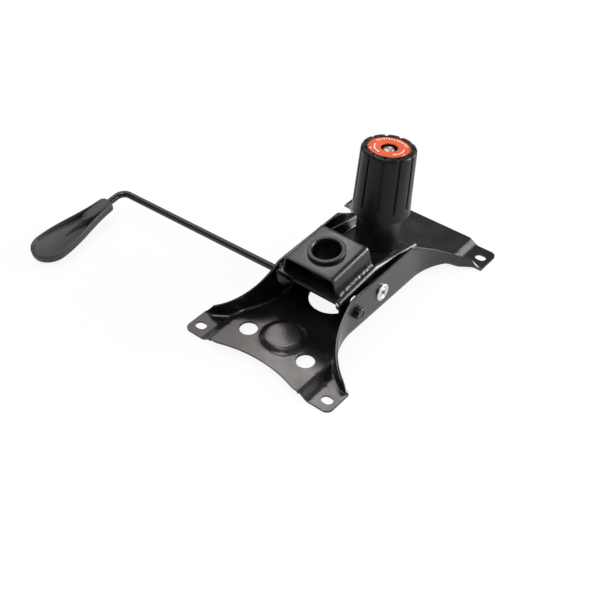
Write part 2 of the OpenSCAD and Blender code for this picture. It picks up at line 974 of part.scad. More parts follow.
module thrust_washer() {
    color(zinc)
        on_knob_axis()
            translate([0, 0, spring_top])
                difference() {
                    cylinder(h = seat_t, d = spring_d);
                    translate([0, 0, -over])
                        cylinder(h = seat_t + 2 * over, d = bolt_d + 2 * run_gap);
                }
}

// Half section of the knob, radius against height above the spring cup's foot
module knob_profile() {
    skirt_r = knob_d / 2;
    top_r = knob_top_d / 2;
    bore_r = cup_d / 2 + 1.5 * free_gap;
    shoulder = knob_shoulder_r;
    difference() {
        union() {
            polygon([
                [0, knob_lift],
                [skirt_r, knob_lift],
                [top_r, knob_top - shoulder],
                [top_r - shoulder, knob_top],
                [0, knob_top]
            ]);
            translate([top_r - shoulder, knob_top - shoulder])
                circle(r = shoulder);
        }
        translate([0, knob_lift - over])
            square([bore_r, knob_ceiling - knob_lift + over]);
        translate([0, label_seat])
            square([label_d / 2 + run_gap, label_t + label_sink + over]);
        translate([0, recess_floor])
            square([recess_d / 2, recess_depth + over]);
        translate([0, knob_lift])
            square([bolt_d / 2 + free_gap, knob_h]);
    }
}

module tension_knob() {
    lean = atan2((knob_d - knob_top_d) / 2, knob_h - knob_shoulder_r);
    groove_l = knob_h - groove_stop;
    color(plastic_black)
        on_knob_axis()
            difference() {
                rotate_extrude()
                    knob_profile();
                for (i = [0:groove_count - 1])
                    rotate([0, 0, 360 * i / groove_count])
                        translate([knob_d / 2, 0, knob_lift])
                            rotate([0, -lean, 0])
                                translate([0, 0, groove_stop]) {
                                    translate([-groove_depth, -groove_w / 2, 0])
                                        cube([2 * groove_depth, groove_w, groove_l + knob_shoulder_r]);
                                    translate([-groove_depth, 0, 0])
                                        rotate([0, 90, 0])
                                            cylinder(h = 2 * groove_depth, d = groove_w);
                                }
                translate([0, 0, knob_ceiling - over])
                    cylinder(h = nut_h + over, d = nut_af / cos(30), $fn = 6);
            }
}

module knob_nut() {
    color(zinc)
        on_knob_axis()
            translate([0, 0, knob_ceiling])
                difference() {
                    cylinder(h = nut_h, d = nut_af / cos(30), $fn = 6);
                    translate([0, 0, -over])
                        cylinder(h = nut_h + 2 * over, d = bolt_d + 2 * run_gap);
                }
}

module knob_label() {
    color("#e2603a")
        on_knob_axis()
            translate([0, 0, label_seat])
                difference() {
                    cylinder(h = label_t, d = label_d);
                    translate([0, 0, -over])
                        cylinder(h = label_t + 2 * over, d = recess_d);
                }
}

// Lever

module on_lever_axis() {
    translate([0, lever_y, lever_z])
        children();
}

// Local frame of the drooping outer rod: -X along the rod, origin at its end
module on_outer_rod() {
    on_lever_axis()
        translate([-droop_start, 0, 0])
            rotate([0, -droop, 0])
                translate([-outer_rod_l, 0, 0])
                    children();
}

// Local frame of the rod's short leg: -Y along the leg, origin at the bend's outer end
module on_leg() {
    on_outer_rod()
        rotate([handle_hang, 0, 0])
            translate([-rod_bend_r, -rod_bend_r, 0])
                children();
}

module lever_bush_left() {
    color(plastic_black)
        on_lever_axis()
            difference() {
                union() {
                    shaft_x(-wall_out, -wall_in, neck_r);
                    shaft_x(-wall_in, -wall_in + bush_flange_t, bush_d / 2);
                    shaft_x(-wall_out - bush_flange_t, -wall_out, bush_d / 2);
                }
                shaft_x(-flare_x, 0, rod_r + run_gap);
            }
}

module lever_bush_right() {
    groove = wall_out + (bush_proud - bush_groove_w) / 2;
    color(plastic_black)
        on_lever_axis()
            difference() {
                union() {
                    shaft_x(wall_in, wall_out, neck_r);
                    shaft_x(wall_out, wall_out + bush_proud, bush_d / 2);
                }
                difference() {
                    shaft_x(groove, groove + bush_groove_w, bush_d);
                    shaft_x(groove, groove + bush_groove_w, neck_r);
                }
                shaft_x(0, flare_x, rod_r + run_gap);
            }
}

module lock_collar() {
    color(zinc)
        on_lever_axis()
            difference() {
                shaft_x(lock_rest, lock_rest + lock_l, lock_d / 2);
                shaft_x(0, flare_x, rod_r + run_gap);
            }
}

// Clips on the rod at both ends of the lock collar
module retaining_clips() {
    gap = free_gap / 2;
    color(zinc)
        on_lever_axis()
            for (x = [lock_rest - gap - clip_t, lock_rest + lock_l + gap])
                difference() {
                    shaft_x(x, x + clip_t, clip_d / 2);
                    shaft_x(x - over, x + clip_t + over, rod_r);
                }
}

module lever_rod() {
    // The two straights stop inside a round knuckle where the rod starts to droop
    knuckle_gap = rod_r / 20;
    color("#161618") {
        on_lever_axis() {
            shaft_x(-droop_start + knuckle_gap, rod_end, rod_r);
            translate([-droop_start, 0, 0])
                sphere(r = rod_r + fuse);
        }
        on_outer_rod() {
            shaft_x(0, outer_rod_l - knuckle_gap, rod_r);
            rotate([handle_hang, 0, 0])
                translate([0, -rod_bend_r, 0])
                    rotate([0, 0, 90])
                        rotate_extrude(angle = 90)
                            translate([rod_bend_r, 0])
                                circle(r = rod_r);
        }
        on_leg()
            rotate([90, 0, 0])
                cylinder(h = rod_neck + rod_grip, r = rod_r);
    }
}

// Plan of the handle, root at zero and tip along -Y; inset draws the edge in
module handle_plan(inset) {
    flank = [
        for (i = [0:flank_steps])
            [handle_half(i / flank_steps) - inset, spoon_y * i / flank_steps - inset]
    ];
    other = [for (i = [flank_steps:-1:0]) [-flank[i][0], flank[i][1]]];
    intersection() {
        polygon(concat(flank, other));
        translate([-handle_tip_w, spoon_y])
            square([2 * handle_tip_w, -spoon_y - inset]);
    }
    translate([0, spoon_y])
        circle(r = handle_tip_w / 2 - inset, $fn = 96);
}

// Half width of the handle, swelling smoothly from its root to its round end
function handle_half(t) = handle_root_w / 2 + (handle_tip_w - handle_root_w) / 4 * (1 - cos(180 * t));

module on_handle() {
    on_leg()
        translate([0, -rod_neck, handle_low])
            children();
}

// Raised rib that houses the rod's end, running out to a point
module handle_rib() {
    half = rod_r + rib_cover;
    top = half - handle_low;
    intersection() {
        linear_extrude(top)
            polygon([
                [-half, -handle_wall / 2],
                [half, -handle_wall / 2],
                [half, -rod_grip],
                [0, -rib_l],
                [-half, -rod_grip]
            ]);
        along_x(-half, half)
            polygon([
                [0, 0],
                [0, top],
                [-rod_grip - handle_wall, top],
                [-rib_l, 1.5 * handle_wall],
                [-rib_l, 0]
            ]);
    }
}

module lever_handle() {
    color(plastic_black)
        on_handle()
            difference() {
                union() {
                    difference() {
                        linear_extrude(handle_t)
                            handle_plan(0);
                        translate([0, 0, handle_wall])
                            linear_extrude(handle_t)
                                handle_plan(handle_wall);
                    }
                    handle_rib();
                }
                translate([0, over, -handle_low])
                    rotate([90, 0, 0])
                        cylinder(h = rod_grip + over, r = rod_r);
            }
}

// Flat tongue welded to the rod under the socket
module button_tongue() {
    centre = -lock_travel / 4;
    color("#2c2c2e")
        on_lever_axis()
            difference() {
                translate([centre - tongue_w / 2, 0, -tongue_t / 2])
                    cube([tongue_w, tongue_l, tongue_t]);
                shaft_x(-tongue_w, tongue_w, rod_r);
            }
}

seat_plate();
pivot_axle();
lever_bush_left();
lever_bush_right();
tilt_bracket();
pivot_tube();
pivot_washers();
socket_box();
socket_tube();
box_welds();
spring_cup();
lower_spring_seat();
tension_spring();
tension_bolt();
rocker_washer();
thrust_washer();
tension_knob();
knob_nut();
knob_label();
lock_collar();
lever_rod();
lever_handle();
button_tongue();
retaining_clips();
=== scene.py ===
from math import acos, atan2, cos, hypot, pi, radians, sin, sqrt, tan

import bmesh
import bpy
from mathutils import Matrix, Vector


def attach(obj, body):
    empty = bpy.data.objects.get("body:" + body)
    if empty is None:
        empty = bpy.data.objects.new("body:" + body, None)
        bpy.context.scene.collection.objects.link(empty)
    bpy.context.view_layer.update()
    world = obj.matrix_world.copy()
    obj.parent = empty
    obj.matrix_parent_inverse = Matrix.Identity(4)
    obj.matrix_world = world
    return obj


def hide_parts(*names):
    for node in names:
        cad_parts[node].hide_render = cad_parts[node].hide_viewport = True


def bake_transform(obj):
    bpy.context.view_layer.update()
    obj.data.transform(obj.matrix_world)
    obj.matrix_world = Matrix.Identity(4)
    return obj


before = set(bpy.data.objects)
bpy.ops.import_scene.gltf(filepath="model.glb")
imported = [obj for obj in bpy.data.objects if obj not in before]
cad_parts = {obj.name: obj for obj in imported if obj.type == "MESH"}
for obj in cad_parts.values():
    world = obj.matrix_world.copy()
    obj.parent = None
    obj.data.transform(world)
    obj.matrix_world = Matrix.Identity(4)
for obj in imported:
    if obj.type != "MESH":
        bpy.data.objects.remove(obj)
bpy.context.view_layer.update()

# An office chair's tilt mechanism, lying on its seat face.
# Sizes are in millimetres, in the frame of the CAD model, and are scaled to metres as a mesh is made.
MM = 0.001

# Points this close are merged, and shorter edges than the sliver are taken out
MERGE = 0.002
SLIVER = 0.0005
# Edges stay sharp from this angle in degrees
SHARP = 35.0
# How far a cutter reaches past a face
CUT_OVER = 3.0
# A bar's end: how far its dome rises, and how wide its shoulder is, as shares of the radius
CAP_RISE = 0.12
CAP_SHOULDER = 0.88

# Seat plate
TAB_X = 88.5
REAR_Y = -142.5
FRONT_Y = 145.0
BOLT_X = 77.5
BOLT_Y = 130.0
SLOT_W = 9.5
SLOT_L = 12.0
PLATE_T = 2.0
PAN_H = 8.0
PAN_HALF = 55.0
STEP_RUN = 9.0
TAB_CORNER_R = 7.0
REAR_DIP = 8.5
REAR_DIP_HALF = 47.0
WALL_OUT = 46.0
WALL_IN = WALL_OUT - PLATE_T
FLARE_R = 66.0
FLARE_X = WALL_OUT + FLARE_R
FLARE_Y = 52.0
FLARE_END_Y = FLARE_Y + sqrt(FLARE_R ** 2 - (FLARE_X - TAB_X) ** 2)
WALL_FILLET = 3.0
CREST_FRONT = (44.0, 52.0)
CREST_REAR = (-51.0, 49.5)
WALL_END_FRONT = 8.0
WALL_END_REAR = 10.0
WALL_EDGE_EASE = 0.5
WALL_LIP = 1.0
FILLET_SHARE = 0.6
RUN_OUT_START = 2.6
RUN_OUT_END = 0.4
REAR_SHOULDER = 0.6
REAR_REACH = 30.0
STEP_EASE = 0.05
COLUMN_HOLE_Y = -23.0
COLUMN_HOLE_R = 23.5
LIGHT_HOLE_X = 35.0
LIGHT_HOLE_Y = -108.5
LIGHT_HOLE_R = 9.0
# Forms raised from the pan: place along Y, radius at the top, radius at the foot, rise
BOSS = (-98.0, 18.0, 23.5, 4.5)
DOME = (47.9, 20.0, 30.0, 12.0)
RISE_EASE = 0.09
BOLT_SLOT_HALF = 1.3
BOLT_GAP = 0.7

# Tilt pivot and bracket
PIVOT_Y = -5.5
PIVOT_Z = 29.0
AXLE_R = 6.0
AXLE_HEAD_R = 9.0
AXLE_HEAD_T = 2.4
# The rivet heads' faces from the rim inwards: radius, depth below the face, rounding
RIVET_STEPS = (
    (AXLE_HEAD_R - 1.4, 0.0, 0.8), (5.9, 0.0, 0.4), (5.2, 0.6, 0.3), (4.4, 0.6, 0.3), (3.8, 0.1, 0.4),
    (2.9, 0.1, 0.4), (2.5, 1.5, 0.3), (0.0, 1.5, 0.0),
)
# Their rusty hollows: radius, depth below the face
RIVET_HOLLOW = ((0.0, 1.0), (2.0, 1.1), (2.7, 0.5), (2.7, 1.8), (0.0, 1.8))
PIVOT_TUBE_R = 9.0
BRACKET_HALF = 39.0
BRACKET_T = 2.0
BRACKET_BEND_R = 5.0
CREST_Y = -4.5
CREST_Z = 56.1
CREST_EASE = 0.8
WEB_L = 58.3
WEB_SLOPE = radians(6.0)
RIM_L = 71.0
RIM_SLOPE = radians(11.8)
POCKET_HALF = 33.0
POCKET_START = 13.0
POCKET_LEAD = 0.5
POCKET_SIDE_IN = 2.2
POCKET_SIDE_OUT = 1.2
FLANGE_LOW = 18.5
FLANGE_REAR_RISE = 17.0
FLANGE_REAR_RUN = 11.0
FLANGE_FRONT_RISE = 13.0
TILT_RANGE = radians(12.0)

# Gas lift socket
SOCKET_BORE_R = 14.0
SOCKET_R = 18.5
SOCKET_L = 31.0
SOCKET_PROUD = 3.5
SOCKET_BACK = 27.2
BOX_TOP_HALF = 28.5
BOX_FOOT_HALF = 33.0
BOX_H = 20.0
BOX_L = 55.0
BOX_T = 2.5
BOX_BEND_R = 5.0
WELD_END = 2.5
WELD_STEPS = 150
WELD_R = 1.45
WELD_OUT = 0.3
WELD_LIFT = 0.9
# The bead's ripples: size, turn for each step, phase
WELD_RIPPLES = ((0.3, 1.9, 0.0), (0.2, 0.53, 1.0), (0.15, 3.1, 0.0))
# How the bead wanders: size, turn for each step
WELD_WANDER = ((0.25, 0.31), (0.15, 0.83))

# Tension knob, on its leaning axis
CUP_Y = 49.0
CUP_Z = 36.0
KNOB_LEAN = radians(6.5)
CUP_R = 22.7
CUP_H = 60.0
CUP_WALL = 2.0
CUP_FLOOR = 3.0
BOLT_PASS = 1.0
BOLT_CUT = 9.0
KNOB_SKIRT_R = 29.25
KNOB_TOP_R = 27.25
KNOB_LIFT = 36.5
KNOB_TOP = 106.5
KNOB_SHOULDER_R = 3.5
KNOB_CEILING = 86.5
KNOB_BORE_R = CUP_R + 0.45
GROOVE_COUNT = 11
GROOVE_HALF = 1.3
GROOVE_DEPTH = 1.6
GROOVE_STOP = 12.0
# Over this height below the knob's top, the grooves widen by one share and keep another of their depth
GROOVE_CROWN = 10.0
GROOVE_WIDER = 0.25
GROOVE_SHALLOWER = 0.65
# A groove is flat out to the first share of its half width and ends at the second
GROOVE_FLAT = 0.6
GROOVE_EDGE = 1.15
PAD_CROWN = 0.3
PAD_RUN = 6.0
# Places of the mesh's lines beside a groove, in half widths
GROOVE_LINES = (0.0, 0.45, 0.65, 0.85, 1.05, 1.25, 1.7, 2.5, 3.6, 4.6)
SKIN_STEP = 1.2
NUT_GAP = 0.3
LABEL_R = 21.0
LABEL_T = 1.0
LABEL_TOP = KNOB_TOP - 1.0
LABEL_GAP = 0.05
# Printed marks on the label
PRINT_SINK = 0.05
PRINT_PROUD = 0.06
MARK_ANGLES = (radians(228), radians(353))
ARROW_R = 14.3
ARROW_HALF = 0.5
ARROW_REACH = radians(36)
ARROW_NECK = 0.72
ARROW_HEAD = 2.8
SIGN_R = 18.3
SIGN_REACH = 1.6
SIGN_HALF = 0.35
SIGN_ARM = 0.98
SIGN_ARM_REACH = 0.62
TICKS_EACH_WAY = 7
TICKS_MIDDLE = 108.0
TICK_STEP = 8.5
TICK_OUT = 19.0
TICK_LONG_IN = 15.4
TICK_SHORT_IN = 16.4
TICK_HALF = 0.42
RECESS_R = 8.5
RECESS_DEPTH = 6.0
BOLT_R = 6.0
BOLT_TOP = KNOB_TOP - RECESS_DEPTH + 4.0
BOLT_HEAD_TOP = -22.6
BOLT_HEAD_H = 8.0
BOLT_HEAD_R = 10.4
THREAD_PITCH = 1.75
THREAD_START = 55.0
THREAD_DEPTH = 0.55
THREAD_LEAD = 2.0
THREAD_LINES = 8
BOLT_CHAMFER = 1.4
# The bolt's end from its rim into the dimple: radius, height above the end
BOLT_END = ((BOLT_R - 1.9, 0.0), (2.0, 0.1), (1.6, -0.3), (0.0, -1.2))
BOLT_SIDES = 48
SPRING_FOOT = 6.0
SPRING_TOP = 83.0
SPRING_TURNS = 7
SPRING_WIRE = 5.5
SPRING_R = 16.25
SPRING_SPLIT = 52.5
SPRING_SPLIT_GAP = 0.005
SPRING_CLEAR = 0.15
SPRING_LINES = 28

# Lever
LEVER_Y = -43.5
LEVER_Z = 28.7
ROD_R = 3.75
ROD_END = 50.0
DROOP_START = 58.0
DROOP = radians(1.7)
DROOP_EASE = 8.0
LEVER_REACH = 275.0
ROD_BEND_R = 10.0
ROD_NECK = 12.0
HANDLE_HANG = radians(6.0)
HANDLE_L = 104.0
HANDLE_ROOT_HALF = 9.25
HANDLE_TIP_R = 21.0
HANDLE_T = 10.0
HANDLE_WALL = 2.4
HANDLE_LOW = -ROD_R - HANDLE_WALL
# The rod's end is hidden in the rib, so it stops where the rib is still tall
ROD_GRIP = 27.0
RIB_L = 64.0
RIB_TAIL = 29.0
RIB_ROOT_HALF = 7.6
RIB_TAIL_HALF = 6.6
RIB_TOP = ROD_R + 2.0 - HANDLE_LOW
RIB_START = 0.6
RIB_EASE = 2.0
RIB_END_NARROWER = 0.08
RIB_END_LOWER = 0.5
RIB_POINT_HALF = 0.05
RIB_POINT_RISE = 0.3
# The rib's section is a rounded block at a high power and a roof near one
RIB_BLOCK_POWER = 4.0
RIB_ROOF_POWER = 1.1
RIB_POWER_RUN = 0.3
HANDLE_ROOT_R = 4.0
HANDLE_FLOOR = 3.4
SPOON_FLOOR = 6.6
SPOON_RAMP = (34.0, 84.0)
HANDLE_FOOT_IN = 3.8
# The handle's outside from its foot over the rim: inset, height
HANDLE_SHELL = (
    (HANDLE_FOOT_IN, 0.0), (2.0, 0.35), (0.7, 1.5), (0.0, 3.6), (0.0, HANDLE_T - 1.3),
    (0.4, HANDLE_T - 0.4), (1.1, HANDLE_T), (HANDLE_WALL - 0.5, HANDLE_T),
    (HANDLE_WALL, HANDLE_T - 0.5),
)
# Where the wall's inside meets the floor: inset, height above the floor
HANDLE_COVE = ((HANDLE_WALL + 0.3, 1.0), (HANDLE_WALL + 0.7, 0.3), (HANDLE_FOOT_IN, 0.0))
BUSH_R = 6.5
BUSH_NECK_R = 5.5
BUSH_PROUD = 4.6
BUSH_COLLAR = 2.0
BUSH_GROOVE = (1.9, 2.7)
BUSH_BORE_R = ROD_R + 0.05
LOCK_R = 7.0
ROD_SLOT_GAP = 0.6
LOCK_SLOT_GAP = 0.5


# Small maths

def smooth(t):
    """Smooth step from 0 to 1."""
    t = min(max(t, 0.0), 1.0)
    return t * t * (3.0 - 2.0 * t)


def ramp(value, start, end):
    """Smooth step from 0 at start to 1 at end."""
    return smooth((value - start) / (end - start))


def mix(a, b, t):
    return a + (b - a) * t


def soft_min(a, b, width):
    """The lower of two values, rounded over where they cross."""
    return 0.5 * (a + b - sqrt((a - b) ** 2 + width ** 2))


def line_through(p, q, x):
    """Height at x of the straight line through two points."""
    return mix(p[1], q[1], (x - p[0]) / (q[0] - p[0]))


def spread(start, end, count):
    """count + 1 even steps from start to end."""
    return [mix(start, end, i / count) for i in range(count + 1)]


def arc(centre, r, start, end, steps):
    """Points of a round stretch, from one angle to another."""
    return [(centre[0] + r * cos(a), centre[1] + r * sin(a)) for a in spread(start, end, steps)]


def rounded(corners, steps):
    """Closed outline or open line through (x, y, radius) corners, with an arc at each that has a radius."""
    points = []
    for i, (x, y, r) in enumerate(corners):
        here = Vector((x, y))
        if r <= 0.0:
            points.append((x, y))
            continue
        before = Vector(corners[i - 1][:2]) - here
        after = Vector(corners[(i + 1) % len(corners)][:2]) - here
        before.normalize()
        after.normalize()
        half = acos(max(-1.0, min(1.0, before.dot(after)))) / 2.0
        reach = r / tan(half)
        centre = here + (before + after).normalized() * (r / sin(half))
        start = here + before * reach - centre
        end = here + after * reach - centre
        turn = atan2(start.x * end.y - start.y * end.x, start.dot(end))
        first = atan2(start.y, start.x)
        points += arc(centre, r, first, first + turn, steps)
    return points


# Mesh building

def make_piece(name, verts, faces, sharp=SHARP):
    """A mesh object from points in millimetres, smooth except at edges sharper than the angle."""
    mesh = bpy.data.meshes.new(name)
    mesh.from_pydata([Vector(v) * MM for v in verts], [], faces)
    obj = bpy.data.objects.new(name, mesh)
    bpy.context.scene.collection.objects.link(obj)
    tidy_mesh(mesh, sharp)
    return obj


def tidy_mesh(mesh, sharp):
    """Merges the poles, points the faces outwards and sets smooth shading."""
    work = bmesh.new()
    work.from_mesh(mesh)
    bmesh.ops.remove_doubles(work, verts=work.verts, dist=MERGE * MM)
    bmesh.ops.dissolve_degenerate(work, edges=work.edges, dist=SLIVER * MM)
    bmesh.ops.recalc_face_normals(work, faces=work.faces)
    for face in work.faces:
        face.smooth = True
    work.to_mesh(mesh)
    work.free()
    mesh.set_sharp_from_angle(angle=radians(sharp))


def grid_faces(rows, cols, wrap):
    """Quads over a grid of points that lie row by row."""
    faces = []
    for j in range(rows - 1):
        for i in range(cols if wrap else cols - 1):
            k = (i + 1) % cols
            faces.append((j * cols + i, j * cols + k, (j + 1) * cols + k, (j + 1) * cols + i))
    return faces


def skin(name, rows, sharp=SHARP, wrap=True):
    """A mesh over rows of points; wrap joins each row's end to its start."""
    verts = [p for row in rows for p in row]
    return make_piece(name, verts, grid_faces(len(rows), len(rows[0]), wrap), sharp)


def place(matrix, points):
    return [matrix @ Vector(p) for p in points]


def ring(angles, r, z):
    """Points about the local Z axis."""
    return [(r * cos(a), r * sin(a), z) for a in angles]


def lathe(name, matrix, profile, segments, sharp=SHARP):
    """Turns a closed (radius, height) profile about the local Z axis."""
    angles = [2 * pi * i / segments for i in range(segments)]
    rows = [place(matrix, ring(angles, r, z)) for r, z in list(profile) + [profile[0]]]
    return skin(name, rows, sharp)


def prism(name, matrix, outline, z0, z1, steps=1):
    """Extrudes a closed outline along the local Z axis, in one or more lengths."""
    count = len(outline)
    verts = [(x, y, z) for z in spread(z0, z1, steps) for x, y in outline]
    faces = grid_faces(steps + 1, count, True)
    faces.append(tuple(range(count)))
    faces.append(tuple(range(steps * count, (steps + 1) * count)))
    return make_piece(name, place(matrix, verts), faces)


def sweep(name, path, radius, sides=24, sharp=SHARP):
    """A round bar along a path, with its ends closed by small domes. radius may vary along the path."""
    size = radius if callable(radius) else (lambda i: radius)
    side = Vector((0.0, 0.0, 1.0))
    rows = []
    last = len(path) - 1
    for i, point in enumerate(path):
        ahead = (path[min(i + 1, last)] - path[max(i - 1, 0)]).normalized()
        across = ahead.cross(side).normalized()
        up = across.cross(ahead)
        rows.append([point + (across * cos(2 * pi * k / sides) + up * sin(2 * pi * k / sides)) * size(i)
                     for k in range(sides)])
    caps = []
    for at, beside in ((0, 1), (last, last - 1)):
        tip = path[at] + (path[at] - path[beside]).normalized() * size(at) * CAP_RISE
        rise = (tip - path[at]) * CAP_RISE
        caps.append([[tip] * sides, [mix(tip, p, CAP_SHOULDER) + rise for p in rows[at]]])
    return skin(name, caps[0] + rows + caps[1][::-1], sharp)


def apply_modifiers(obj):
    """Turns the modifiers into the final mesh."""
    graph = bpy.context.evaluated_depsgraph_get()
    old = obj.data
    obj.data = bpy.data.meshes.new_from_object(obj.evaluated_get(graph))
    obj.modifiers.clear()
    bpy.data.meshes.remove(old)
    for face in obj.data.polygons:
        face.use_smooth = True
    obj.data.set_sharp_from_angle(angle=radians(SHARP))


def thicken(obj, thickness, edge=0.45):
    """Gives a skin its sheet thickness behind it, and eased edges."""
    solid = obj.modifiers.new("sheet", 'SOLIDIFY')
    solid.thickness = thickness * MM
    solid.offset = -1.0
    solid.use_even_offset = True
    ease(obj, edge)


def ease(obj, width, angle=50.0, segments=2):
    """Rounds the edges that are sharper than the angle."""
    bevel = obj.modifiers.new("edges", 'BEVEL')
    bevel.width = width * MM
    bevel.segments = segments
    bevel.limit_method = 'ANGLE'
    bevel.angle_limit = radians(angle)
    bevel.use_clamp_overlap = True
    apply_modifiers(obj)


def cut(obj, cutters):
    """Takes the cutters out of a piece."""
    for cutter in cutters:
        hole = obj.modifiers.new("hole", 'BOOLEAN')
        hole.operation = 'DIFFERENCE'
        hole.solver = 'EXACT'
        hole.object = cutter
    apply_modifiers(obj)
    for cutter in cutters:
        bpy.data.objects.remove(cutter)


def hole_profile(r, flare=0.5):
    """A punched hole through the pan, with an eased rim."""
    over = PAN_H + CUT_OVER
    return [(0, 0), (r, 0), (r, PAN_H - flare), (r + flare, PAN_H), (r + flare, over), (0, over)]


def rod_profile(r, z0, z1):
    """A plain round cutter from z0 to z1."""
    return [(0, z0), (r, z0), (r, z1), (0, z1)]


# Frames on the object

def along_x(y, z):
    """Local Z along X, through a point of the YZ plane."""
    return Matrix.Translation((0, y, z)) @ Matrix.Rotation(pi / 2, 4, 'Y')


ON_WEB = Matrix.Translation((0, CREST_Y, CREST_Z)) @ Matrix.Rotation(WEB_SLOPE, 4, 'X')
ON_SOCKET = ON_WEB @ Matrix.Translation((0, -SOCKET_BACK, 0))
ON_KNOB = Matrix.Translation((0, CUP_Y, CUP_Z)) @ Matrix.Rotation(-KNOB_LEAN, 4, 'X')
OUTER_ROD_L = (LEVER_REACH - DROOP_START - ROD_BEND_R) / cos(DROOP)
ON_LEVER = Matrix.Translation((0, LEVER_Y, LEVER_Z))
ON_OUTER_ROD = (ON_LEVER @ Matrix.Translation((-DROOP_START, 0, 0)) @ Matrix.Rotation(-DROOP, 4, 'Y')
                @ Matrix.Translation((-OUTER_ROD_L, 0, 0)))
ON_BEND = ON_OUTER_ROD @ Matrix.Rotation(HANDLE_HANG, 4, 'X')
ON_LEG = ON_BEND @ Matrix.Translation((-ROD_BEND_R, -ROD_BEND_R, 0))
ON_HANDLE = ON_LEG @ Matrix.Translation((0, -ROD_NECK, HANDLE_LOW))


# Materials

# The part of a noise's range that is mapped, and the depth of the fine grain
NOISE_LOW = 0.35
NOISE_HIGH = 0.65
GRAIN_DEPTH = 0.15
GRAIN_DETAIL = 2.0
BLACK_LOW = (0.0042, 0.0038, 0.0038)
BLACK_HIGH = (0.007, 0.0061, 0.006)


def new_material(name):
    """A node material, with its tree and its shader."""
    mat = bpy.data.materials.new(name)
    mat.use_nodes = True
    tree = mat.node_tree
    return mat, tree, tree.nodes["Principled BSDF"]


def feed(tree, node, inputs):
    """Sets a node's inputs, or links those that are given another node's output."""
    for key, value in inputs.items():
        if isinstance(value, bpy.types.NodeSocket):
            tree.links.new(value, node.inputs[key])
        else:
            node.inputs[key].default_value = value


def add(tree, kind, inputs, operation=None):
    """A new shader node with its inputs."""
    node = tree.nodes.new(kind)
    if operation:
        node.operation = operation
    feed(tree, node, inputs)
    return node


def noise(tree, coords, scale, detail=3.0):
    inputs = {"Vector": coords, "Scale": scale, "Detail": detail}
    return add(tree, "ShaderNodeTexNoise", inputs).outputs["Fac"]


def between(tree, factor, low, high, start=NOISE_LOW, end=NOISE_HIGH):
    """Maps a factor from one range to another."""
    inputs = {"Value": factor, "From Min": start, "From Max": end, "To Min": low, "To Max": high}
    return add(tree, "ShaderNodeMapRange", inputs).outputs["Result"]


def tint(tree, factor, stops):
    """A colour that changes along a factor, from (place, colour) stops."""
    node = add(tree, "ShaderNodeValToRGB", {"Fac": factor})
    marks = node.color_ramp.elements
    marks[0].position = stops[0][0]
    marks[1].position = stops[-1][0]
    for spot, _ in stops[1:-1]:
        marks.new(spot)
    for mark, (_, colour) in zip(marks, stops):
        mark.color = (*colour, 1)
    return node.outputs["Color"]


def finish(name, dark, light, rough, grain, relief, metallic=0.0, specular=0.5, blotch=40.0):
    """A worked surface: a faint colour drift, uneven gloss and a fine grain."""
    mat, tree, shader = new_material(name)
    coords = add(tree, "ShaderNodeTexCoord", {}).outputs["Object"]
    drift = noise(tree, coords, blotch)
    fine = noise(tree, coords, grain, GRAIN_DETAIL)
    height = {"Height": fine, "Strength": relief, "Distance": GRAIN_DEPTH * MM}
    feed(tree, shader, {
        "Base Color": tint(tree, drift, ((NOISE_LOW, dark), (NOISE_HIGH, light))),
        "Roughness": between(tree, drift, *rough),
        "Normal": add(tree, "ShaderNodeBump", height).outputs["Normal"],
        "Metallic": metallic,
        "Specular IOR Level": specular,
    })
    return mat


PAINT = finish(
    "black_steel", BLACK_LOW, BLACK_HIGH, rough=(0.22, 0.29), grain=900, relief=0.05, specular=0.6)
BOX_PAINT = finish(
    "box_black", BLACK_LOW, BLACK_HIGH, rough=(0.25, 0.32), grain=900, relief=0.05, specular=0.45)
ZINC = finish(
    "zinc", (0.60, 0.60, 0.61), (0.74, 0.75, 0.76),
    rough=(0.22, 0.34), grain=700, relief=0.08, metallic=1.0)
YELLOW_ZINC = finish(
    "yellow_zinc", (0.40, 0.36, 0.31), (0.52, 0.48, 0.42),
    rough=(0.3, 0.42), grain=700, relief=0.1, metallic=1.0)
RUST = finish(
    "rust", (0.10, 0.032, 0.016), (0.19, 0.07, 0.035),
    rough=(0.5, 0.7), grain=900, relief=0.4, blotch=600)
KNOB_PLASTIC = finish(
    "black_plastic", (0.006, 0.0058, 0.006), (0.009, 0.0087, 0.009),
    rough=(0.32, 0.38), grain=1600, relief=0.15, specular=0.2)
NYLON = finish(
    "nylon", (0.011, 0.011, 0.011), (0.016, 0.016, 0.016), rough=(0.45, 0.55), grain=500, relief=0.05)
# The bead's colour drifts from its black paint to pale grey flecks: partly its own rough speckle, partly
# painted highlight that stands in for glints on its ripples
WELD_SPECKLE_AND_GLINTS = finish(
    "weld", (0.02, 0.019, 0.019), (0.46, 0.45, 0.44),
    rough=(0.14, 0.34), grain=650, relief=0.7, specular=0.9, blotch=420)
CUP_PAINT = finish(
    "cup_black", (0.005, 0.005, 0.005), (0.008, 0.0078, 0.0078),
    rough=(0.34, 0.42), grain=900, relief=0.06)
SPRING_STEEL = finish(
    "spring_steel", (0.06, 0.06, 0.065), (0.10, 0.10, 0.105),
    rough=(0.3, 0.4), grain=600, relief=0.1, metallic=0.9)
LABEL = finish(
    "label_orange", (0.56, 0.082, 0.023), (0.62, 0.096, 0.028),
    rough=(0.42, 0.5), grain=500, relief=0.04, specular=0.3)
ROD_PAINT = finish(
    "rod_black", (0.006, 0.0058, 0.0058), (0.009, 0.0085, 0.0085),
    rough=(0.16, 0.21), grain=700, relief=0.04)
HANDLE_PLASTIC = finish(
    "handle_grey", (0.024, 0.0228, 0.0228), (0.032, 0.0305, 0.0305),
    rough=(0.44, 0.52), grain=1500, relief=0.2)
MARKS = finish(
    "label_white", (0.72, 0.69, 0.66), (0.82, 0.79, 0.76), rough=(0.4, 0.5), grain=500, relief=0.04)


